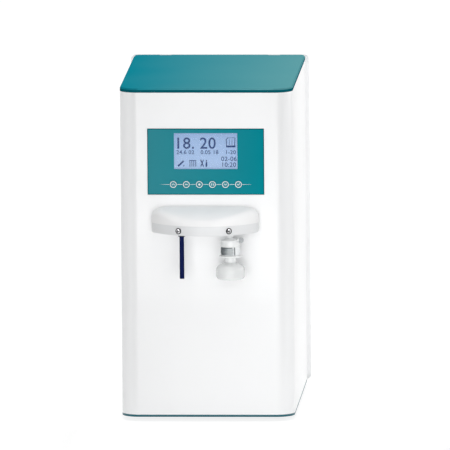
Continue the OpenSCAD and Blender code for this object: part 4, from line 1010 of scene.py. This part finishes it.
# Strokes of the display's signs, in millimetres right of and below the window's corner, and their widths
TANK_SIGN = (
    ((90.5, 12.0, 91.5, 22.0), 1.3), ((90.5, 12.0, 93.0, 8.8), 1.2), ((93.0, 8.8, 105.5, 8.4), 0.8),
    ((105.8, 9.0, 105.2, 22.0), 1.3), ((92.0, 23.6, 105.0, 23.6), 3.2),
    ((96.0, 11.5, 96.0, 21.0), 0.7), ((100.5, 11.5, 100.5, 21.0), 0.7),
)
TOOL_SIGN = (((8.0, 57.0, 15.5, 50.0), 3.0), ((16.2, 58.0, 17.2, 56.6), 1.2))
COMB_SIGN = (
    ((27.0, 48.2, 37.8, 48.2), 1.2),
    *(((27.4 + k * 3.4, 49.2, 27.4 + k * 3.4, 58.2), 1.2) for k in range(4)),
)
CROSSED_SIGN = (
    ((46.4, 47.5, 50.6, 58.0), 1.8), ((50.6, 47.5, 46.4, 58.0), 1.6),
    ((56.0, 48.0, 56.0, 51.0), 1.6), ((56.0, 53.0, 56.0, 57.6), 3.0),
)
# Strokes of each key's sign, in millimetres right of and above its middle; the third has a small ring
KEY_SIGNS = (
    ((-2.0, -0.6, 0.0, 1.2), (0.0, 1.2, 2.0, -0.6)),
    ((-2.0, 0.0, 2.0, 0.0),),
    (),
    ((-1.5, -1.5, -1.5, 1.5), (1.5, -1.5, 1.5, 1.5)),
    ((-2.0, 0.8, 0.0, -1.2), (0.0, -1.2, 2.0, 0.8)),
    ((-1.8, 0.1, -0.5, -1.3), (-0.5, -1.3, 2.0, 1.4)),
)
KEY_RIM = 5.9 * MM
KEY_RING = (KEY_RIM - 1.15 * MM, KEY_RIM - 0.2 * MM)
KEY_DISH = 0.4 * MM
KEY_STROKE = 0.75 * MM
PRINT_THICK, PRINT_RISE = 0.1 * MM, 0.05 * MM
KEY_LINE_GAP = KEY_RIM + 0.9 * MM
KEY_LINE_END = 79 * MM
KEY_LINE_HALF = 0.32 * MM
KEY_LINE_TIP = 0.12


def number(body, x, z, size, y, thick):
    """Mesh of a plain number on the display's face, from the font that Blender has built in."""
    text = bpy.data.curves.new("number", "FONT")
    text.body = body
    text.size = size * FONT_SIZE
    text.offset = size * FONT_WEIGHT
    text.space_character = FONT_SPACING
    text.extrude = thick / 2
    text.resolution_u = 4
    holder = link(bpy.data.objects.new("number", text))
    upright = Matrix.Rotation(math.radians(90), 4, "X")
    holder.matrix_world = Matrix.Translation((x, y + thick / 2, z)) @ upright
    return plain_mesh(holder, "number")


def make_characters(tall):
    """Plain numbers, a tank sign and small service signs on the display, all dark."""
    y = LCD_LO.y + LCD_RECESS - INK_RISE
    corner = (WINDOW_LO.x, WINDOW_HI.z)
    bm = bmesh.new()
    for body, right, down, size in DISPLAY_TEXT:
        mesh = number(body, corner[0] + right * MM, corner[1] - down * MM, size or tall, y, INK_THICK)
        bm.from_mesh(mesh)
        bpy.data.meshes.remove(mesh)
    for (x0, down0, x1, down1), width in TANK_SIGN + TOOL_SIGN + COMB_SIGN + CROSSED_SIGN:
        stroke(bm, corner, (x0, -down0, x1, -down1), width * MM, y, INK_THICK)
    take(piece_from(bm, "display_characters", FINISHES["segment"]), "lcd")


def make_key(i, x, z, face_y):
    """One key with its white ring and sign."""
    body = f"key_{i}"
    edged_copy(body, f"key_button_{i}", "key_face", 0.25 * MM, "teal_membrane", 3, body)
    bm = bmesh.new()
    flat_ring(bm, x, z, *KEY_RING, face_y - 0.04 * MM, PRINT_THICK)
    sign_y = face_y + KEY_DISH - PRINT_RISE
    for line in KEY_SIGNS[i - 1]:
        stroke(bm, (x, z), line, KEY_STROKE, sign_y, PRINT_THICK)
    if not KEY_SIGNS[i - 1]:
        flat_ring(bm, x, z, 0.5 * MM, 1.7 * MM, sign_y, PRINT_THICK, 24)
    take(piece_from(bm, f"key_mark_{i}", FINISHES["print"]), "teal_membrane", body=body)


def make_key_line(centres, z):
    """The white line that the keys stand on, broken at each key and pointed at both ends."""
    bm = bmesh.new()
    starts = [-KEY_LINE_END] + [x + KEY_LINE_GAP for x in centres]
    ends = [x - KEY_LINE_GAP for x in centres] + [KEY_LINE_END]
    last = len(starts) - 1
    for k, (a, b) in enumerate(zip(starts, ends)):
        half_a = KEY_LINE_HALF * (KEY_LINE_TIP if k == 0 else 1.0)
        half_b = KEY_LINE_HALF * (KEY_LINE_TIP if k == last else 1.0)
        flat_shape(bm, [(a, z - half_a), (b, z - half_b), (b, z + half_b), (a, z + half_a)],
                   PANEL_LO.y - PRINT_RISE, PRINT_THICK)
    take(piece_from(bm, "key_line", FINISHES["print"]), "teal_membrane")


class UWS_OT_control_panel(bpy.types.Operator):
    """Makes the teal membrane panel, its display and the six keys."""
    bl_idname = "uws.control_panel"
    bl_label = "Control panel"

    def execute(self, context):
        edged_copy("control_panel", "membrane_panel", "membrane", 0.2 * MM, "teal_membrane")
        edged_copy("display_window", "display_lens", "lens", 0.3 * MM, "clear_window")
        edged_copy("lcd_module", "display_module", "lcd", 0.2 * MM, "lcd")
        make_characters(context.scene.uws_panel.digit_height)
        low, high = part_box("key_1")
        key_z = (low.z + high.z) / 2
        centres = [middle(*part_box(f"key_{i}"))[0] for i in range(1, 7)]
        for i, x in enumerate(centres, 1):
            make_key(i, x, key_z, low.y)
        make_key_line(centres, key_z)
        dress("control_board", "board")
        dress("board_posts", "brass")
        dress("key_switches", "black")
        return {"FINISHED"}


# ---------- dispensing head ----------

# The outline is drawn with this many steps down a cheek, round a corner and along half the front
CHEEK_STEPS, CORNER_STEPS, FRONT_STEPS = 4, 8, 56
# The spine at the wall is this share of the outline's width
SPINE_WIDTH = 0.62
# Shares of the way from the head's rim to its spine, close together over the brow
BROW_SHARES = (0.0, 0.01, 0.025, 0.045, 0.07, 0.10, 0.14, 0.19, 0.25, 0.33, 0.42, 0.52, 0.63, 0.75, 0.88, 1.0)
COVER_WALL = 2.6 * MM
TRAY_INSET = 0.6 * MM
TRAY_LIP, TRAY_LIP_STEPS = 1.2 * MM, 4
SCREW_SPREAD = 43.5 * MM
WASHER_THICK = 0.9 * MM
FRONT_SCREW_HEIGHT = 2.2 * MM


def head_outline(corner, inset=0.0):
    """Plan of the head from its left back corner round the front to its right back corner."""
    w, r = HEAD_HALF - inset, HEAD_RADIUS - inset
    fx = w - corner
    fy = HEAD_CENTRE_Y - math.sqrt((r - corner) ** 2 - fx ** 2)
    turn = math.atan2(fx, HEAD_CENTRE_Y - fy)
    cheek = [(w, WALL_Y + (fy - WALL_Y) * k / CHEEK_STEPS) for k in range(CHEEK_STEPS)]
    angles = [(math.pi / 2 - turn) * k / CORNER_STEPS for k in range(CORNER_STEPS + 1)]
    bend = [(fx + corner * math.cos(a), fy - corner * math.sin(a)) for a in angles]
    angles = [turn * k / FRONT_STEPS for k in range(FRONT_STEPS - 1, -1, -1)]
    front = [(r * math.sin(a), HEAD_CENTRE_Y - r * math.cos(a)) for a in angles]
    half = cheek + bend + front
    left = [(-x, y) for x, y in half[:-1]]
    return [Vector((HEAD_X + x, y)) for x, y in left + list(reversed(half))]


def crown_height(x, y):
    """Height of the head's top at a place: level in the middle, falling to the ends and to the front."""
    flat, end_r, fall = 55 * MM, 90 * MM, 22 * MM
    over = max(0.0, abs(x - HEAD_X) - flat)
    ends = end_r - math.sqrt(max(1e-9, end_r ** 2 - over ** 2))
    slope_r = (HEAD_REACH ** 2 + fall ** 2) / (2 * fall)
    out = min(HEAD_REACH, max(0.0, WALL_Y - y))
    front = slope_r - math.sqrt(slope_r ** 2 - out ** 2)
    return HEAD_HI.z - math.hypot(ends, front)


def from_edge(place, outline):
    """Distance from a place in the plan to the head's free edge."""
    best = 1.0
    for a, b in zip(outline, outline[1:]):
        along = b - a
        share = max(0.0, min(1.0, (place - a).dot(along) / along.length_squared))
        best = min(best, (place - a - along * share).length)
    return best


def make_cover(corner, brow):
    """The crowned cover, a shell that is rounded down to its rim along the brow."""
    outline = head_outline(corner)
    low = HEAD_LO.z
    spine = [Vector((HEAD_X + (p.x - HEAD_X) * SPINE_WIDTH, WALL_Y)) for p in outline]
    rings = [[Vector((*p, low)) for p in outline]]
    for share in BROW_SHARES:
        ring = []
        for p, s in zip(outline, spine):
            q = p.lerp(s, share)
            short = max(0.0, brow - from_edge(q, outline))
            drop = brow - math.sqrt(max(0.0, brow ** 2 - short ** 2))
            ring.append(Vector((*q, max(crown_height(*q) - drop, low + 0.5 * MM))))
        rings.append(ring)
    bm = bmesh.new()
    skin_rings(bm, rings, closed=False)
    cover = piece_from(bm, "head_cover", FINISHES["cover"], 40)
    wall = cover.modifiers.new("wall", "SOLIDIFY")
    wall.thickness = COVER_WALL
    wall.offset = -1.0
    take(cover, "white_plastic", "dispensing_head")


def make_tray(corner):
    """The lower band of the head, with a soft lower edge."""
    rings = []
    for step in range(TRAY_LIP_STEPS + 1):
        a = math.radians(90 * step / TRAY_LIP_STEPS)
        outline = head_outline(corner, TRAY_INSET + TRAY_LIP * (1 - math.sin(a)))
        rings.append([Vector((*p, TRAY_LO.z + TRAY_LIP * (1 - math.cos(a)))) for p in outline])
    rings.append([Vector((*p, TRAY_HI.z)) for p in head_outline(corner, TRAY_INSET)])
    bm = bmesh.new()
    skin_rings(bm, rings, capped=True)
    take(piece_from(bm, "head_tray_body", FINISHES["tray"], 40), "white_plastic", "head_tray")


def make_washers_and_recess_shade(points, ways, head_r, washer_r):
    """Black washers under the two screw heads, which also paint the shade round each head, and black bars on
    the floor of each cross recess, which paint the shade in it.
    """
    r_in, soft = head_r + 0.1 * MM, 0.2 * MM
    ring = [(r_in, 0.0), (washer_r, 0.0), (washer_r, WASHER_THICK - soft),
            (washer_r - soft, WASHER_THICK), (r_in, WASHER_THICK)]
    # Painted shade: two thin black bars lie on the floor of each cross recess.
    shade_bar_size = Matrix.Diagonal((head_r * 1.1, head_r * 0.25, 0.1 * MM, 1.0))
    floor = Matrix.Translation((0, 0, WASHER_THICK + 0.56 * FRONT_SCREW_HEIGHT))
    bm = bmesh.new()
    for place, way in zip(points, ways):
        start = len(bm.verts)
        lathe(bm, ring, 48)
        for spin in (45, 135):
            shade_bar = bmesh.ops.create_cube(bm, size=1.0)["verts"]
            turned = floor @ Matrix.Rotation(math.radians(spin), 4, "Z") @ shade_bar_size
            bmesh.ops.transform(bm, verts=shade_bar, matrix=turned)
        bm.verts.ensure_lookup_table()
        turn = Matrix.Translation(place) @ way.to_track_quat("Z", "Y").to_matrix().to_4x4()
        bmesh.ops.transform(bm, verts=bm.verts[start:], matrix=turn)
    take(piece_from(bm, "head_screw_washers", FINISHES["black"]), "black_plastic")


def make_front_screws(head):
    """The two cross-recess screws of the tray, square to its curved front."""
    low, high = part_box("head_screws")
    tray_r = HEAD_RADIUS - TRAY_INSET
    points, ways = [], []
    for side in (-1, 1):
        a = math.asin(SCREW_SPREAD / tray_r) * side
        way = Vector((math.sin(a), -math.cos(a), 0.0))
        centre = Vector((HEAD_X, HEAD_CENTRE_Y, (low.z + high.z) / 2))
        points.append(tuple(centre + way * (tray_r + 0.15 * MM)))
        ways.append(way)
    made = run_tree("head_front_screws", points_mesh(points, ways), screw_tree(), {
        "Head radius": head.screw_head, "Head height": FRONT_SCREW_HEIGHT + WASHER_THICK,
        "Shank radius": 1.8 * MM, "Shank length": 9 * MM}, "bright_steel")
    take(made, "steel", "head_screws")
    make_washers_and_recess_shade(points, ways, head.screw_head, head.washer)


class UWS_OT_dispensing_head(bpy.types.Operator):
    """Makes the crowned head, its tray and the two front screws."""
    bl_idname = "uws.dispensing_head"
    bl_label = "Dispensing head"

    def execute(self, context):
        head = context.scene.uws_head
        make_cover(head.corner_radius, head.brow_radius)
        make_tray(head.corner_radius)
        make_front_screws(head)
        return {"FINISHED"}


# ---------- final filter capsule ----------

def make_collar(ribs):
    """The collar: a band with a soft edge above and below, and upright grip ribs round it."""
    low, high = COLLAR_LO.z, COLLAR_HI.z
    r = (COLLAR_HI.x - COLLAR_LO.x) / 2
    rib, soft, wall = 0.5 * MM, 0.8 * MM, 1.4 * MM
    body = r - 0.35 * MM
    profile = [(r - wall, low)] + arc_points(body - soft, low + soft, soft, -90, 0, 5)
    profile += arc_points(body - soft, high - soft, soft, 0, 90, 5) + [(r - wall, high)]
    bm = bmesh.new()
    lathe(bm, profile, 96, CAPSULE_PLACE)
    take(piece_from(bm, "capsule_collar", FINISHES["collar"], 50), "grey_collar", "filter_collar")
    place = points_mesh([(*CAPSULE_PLACE, (low + high) / 2)])
    grips = run_tree("collar_grips", place, rib_tree(), {
        "Ribs": ribs, "Ring radius": r - rib, "Rib radius": rib,
        "Rib height": high - low - 4 * MM}, "collar", 60)
    take(grips, "grey_collar")


def make_bell():
    """The bell, turned from one outline: a straight sloping top, a round shoulder and a turned-in rim."""
    low, high = BELL_LO.z, BELL_HI.z
    r = (BELL_HI.x - BELL_LO.x) / 2
    wall, neck, sleeve = 1.6 * MM, 10.1 * MM, 4.6 * MM
    rim, shoulder, slope = 6 * MM, 10 * MM, 29
    side = low + 15.8 * MM
    outer = arc_points(r - rim, low + rim, rim, -90, 0, 10)
    outer += arc_points(r - shoulder, side, shoulder, 0, 90 - slope, 12)
    lip = (neck + 0.5 * MM, high - 0.28 * MM)
    outer += [lip, (neck, high)]
    under = high - wall / math.cos(math.radians(slope)) - wall * math.tan(math.radians(slope))
    inner = [(neck, high - sleeve), (neck + wall, high - sleeve), (neck + wall, under)]
    inner += reversed(arc_points(r - shoulder, side, shoulder - wall, 0, 90 - slope, 12))
    inner += reversed(arc_points(r - rim, low + rim, rim - wall, -90, 0, 10))
    bm = bmesh.new()
    lathe(bm, outer + inner, 96, CAPSULE_PLACE)
    take(piece_from(bm, "capsule_bell", FINISHES["bell"], 45), "frosted", "filter_bell")


class UWS_OT_filter_capsule(bpy.types.Operator):
    """Makes the final filter: body, collar, flange, bell and vent knob."""
    bl_idname = "uws.filter_capsule"
    bl_label = "Final filter"

    def execute(self, context):
        edged_copy("filter_adapter", "capsule_adapter", "white_plastic", 0.5 * MM, "white_plastic", 3)
        edged_copy("filter_housing", "capsule_body", "frosted", 0.5 * MM, "frosted", 3)
        make_collar(context.scene.uws_capsule.collar_ribs)
        dress("filter_element", "pleats")
        edged_copy("filter_outlet", "capsule_flange", "frosted", 0.4 * MM, "frosted", 3)
        make_bell()
        edged_copy("vent_knob", "vent_knob_cap", "knob", 0.5 * MM, "white_plastic", 3, "vent_knob")
        return {"FINISHED"}


# ---------- inside ----------

# Pieces of the water train: frame node, finish, record slot, edge rounding in millimetres
TRAIN = (
    ("chassis_plate", "sheet_steel", "steel", 0.3),
    ("cartridge_shelves", "sheet_steel", "steel", 0.3),
    ("pretreatment_cartridges", "cartridge", "white_plastic", 0.5),
    ("polishing_cartridges", "polishing", "white_plastic", 0.5),
    ("cartridge_caps", "cap", "blue_cap", 1.2),
    ("uv_chamber", "stainless", "steel", 0.4),
    ("uv_end_caps", "black", "black_plastic", 1.2),
    ("membrane_housings", "cartridge", "white_plastic", 0.5),
    ("membrane_caps", "white_plastic", "white_plastic", 1.0),
    ("membrane_clips", "white_plastic", "white_plastic", 0.6),
    ("booster_pump", "pump", "pump_black", 0.8),
    ("booster_motor", "motor", "steel", 0.6),
    ("circulation_pump", "pump", "pump_black", 0.8),
    ("circulation_motor", "motor", "steel", 0.6),
    ("solenoid_valves", "black", "black_plastic", 0.6),
    ("resistivity_cell", "white_plastic", "white_plastic", 0.6),
    ("power_supply", "sheet_steel", "steel", 0.4),
    ("elbow_fittings", "white_plastic", "white_plastic", 0.6),
)
# Routes of the inner hoses, in millimetres
SUPPLY_ROUTES = (
    ((-74, 15, 414), (-74, 15, 440), (-18, 15, 440), (-18, 15, 414)),
    ((18, 15, 414), (18, 15, 440), (74, 15, 440), (74, 15, 414)),
    ((-104, 222, 78), (-104, 196, 78), (-104, 196, 448), (-110, 15, 448), (-110, 15, 414)),
    ((110, 15, 414), (110, 15, 452), (110, 111, 452), (-32, 111, 452), (-32, 111, 374)),
    ((-104, 111, 374), (-104, 111, 407), (-60, 111, 407), (-60, -40, 407),
     (-60, -40, 448), (-110, -40, 448), (-110, -90, 448), (-110, -90, 414)),
)
PRODUCT_ROUTES = (
    ((-74, -90, 414), (-74, -90, 448), (74, -90, 448), (74, -90, 414)),
    ((110, -90, 414), (110, -90, 440), (110, -162, 440), (43.8, -162, 440), (43.8, -162, 390.5)),
    ((0, -126, 300), (0, -152, 300), (-40.2, -152, 300), (-40.2, -152, 356.5), (-40.2, -226, 356.5)),
    ((43.8, -226, 356.5), (43.8, -176, 356.5)),
)
HOSE = {"Hose radius": 4 * MM, "Bend radius": 16 * MM, "Steps": 8, "Facets": 20}


def make_cap_grips(ribs):
    """Grip ribs round the upper caps of the five cartridges."""
    low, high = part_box("cartridge_caps")
    r, z, rib, tall = 39.5 * MM, high.z - 12 * MM, 0.9 * MM, 14 * MM
    left, right = low.x + r, high.x - r
    places = [(x, high.y - r, z) for x in (left, 0.0, right)]
    places += [(x, low.y + r, z) for x in (left, right)]
    grips = run_tree("cartridge_cap_grips", points_mesh(places), rib_tree(), {
        "Ribs": ribs, "Ring radius": r - 0.2 * MM, "Rib radius": rib, "Rib height": tall}, "cap", 60)
    take(grips, "blue_cap")


class UWS_OT_inside(bpy.types.Operator):
    """Gives the water train inside its finishes, hoses and grip ribs."""
    bl_idname = "uws.inside"
    bl_label = "Water train"

    def execute(self, context):
        for node, finish, slot, width in TRAIN:
            edged_copy(node, f"{node}_finished", finish, width * MM, slot)
        make_cap_grips(context.scene.uws_inside.cap_ribs)
        for node, name, routes, finish, slot in (
                ("supply_tubing", "supply_hoses", SUPPLY_ROUTES, "hose", "pale_hose"),
                ("product_tubing", "product_hoses", PRODUCT_ROUTES, "product", "blue_tube")):
            take(run_tree(name, lines_mesh(routes), hose_tree(), HOSE, finish, 50), slot, node)
        return {"FINISHED"}


# ---------- add-on ----------

class UWS_PT_pieces(bpy.types.Panel):
    """Lists the makers of the pieces, and their sizes and colours."""
    bl_idname = "UWS_PT_pieces"
    bl_label = "Ultrapure water system"
    bl_space_type = "VIEW_3D"
    bl_region_type = "UI"
    bl_category = "Water system"

    def draw(self, context):
        for operator in MAKERS:
            self.layout.operator(operator.bl_idname)
        for group in GROUPS:
            values = getattr(context.scene, group)
            box = self.layout.box()
            for key in values.__annotations__:
                box.prop(values, key)


GROUPS = {
    "uws_housing": HousingSettings, "uws_panel": PanelSettings, "uws_head": HeadSettings,
    "uws_capsule": CapsuleSettings, "uws_inside": InsideSettings, "uws_stage": StageSettings,
}
MAKERS = [
    UWS_OT_stage, UWS_OT_outlet_tube, UWS_OT_housing, UWS_OT_lid, UWS_OT_rear_panel, UWS_OT_control_panel,
    UWS_OT_dispensing_head, UWS_OT_filter_capsule, UWS_OT_inside,
]
CLASSES = [*GROUPS.values(), *MAKERS, UWS_PT_pieces]


def register():
    for cls in CLASSES:
        bpy.utils.register_class(cls)
    for name, group in GROUPS.items():
        setattr(bpy.types.Scene, name, bpy.props.PointerProperty(type=group))


def unregister():
    for name in GROUPS:
        delattr(bpy.types.Scene, name)
    for cls in reversed(CLASSES):
        bpy.utils.unregister_class(cls)


def main():
    register()
    for old in list(bpy.context.scene.objects):
        if old.name in ("Cube", "Light", "Camera"):
            bpy.data.objects.remove(old)
    make_finishes(bpy.context.scene)
    bpy.ops.uws.stage()
    bpy.ops.uws.outlet_tube()
    bpy.ops.uws.housing()
    bpy.ops.uws.lid()
    bpy.ops.uws.rear_panel()
    bpy.ops.uws.control_panel()
    bpy.ops.uws.dispensing_head()
    bpy.ops.uws.filter_capsule()
    bpy.ops.uws.inside()


if __name__ == "__main__":
    main()
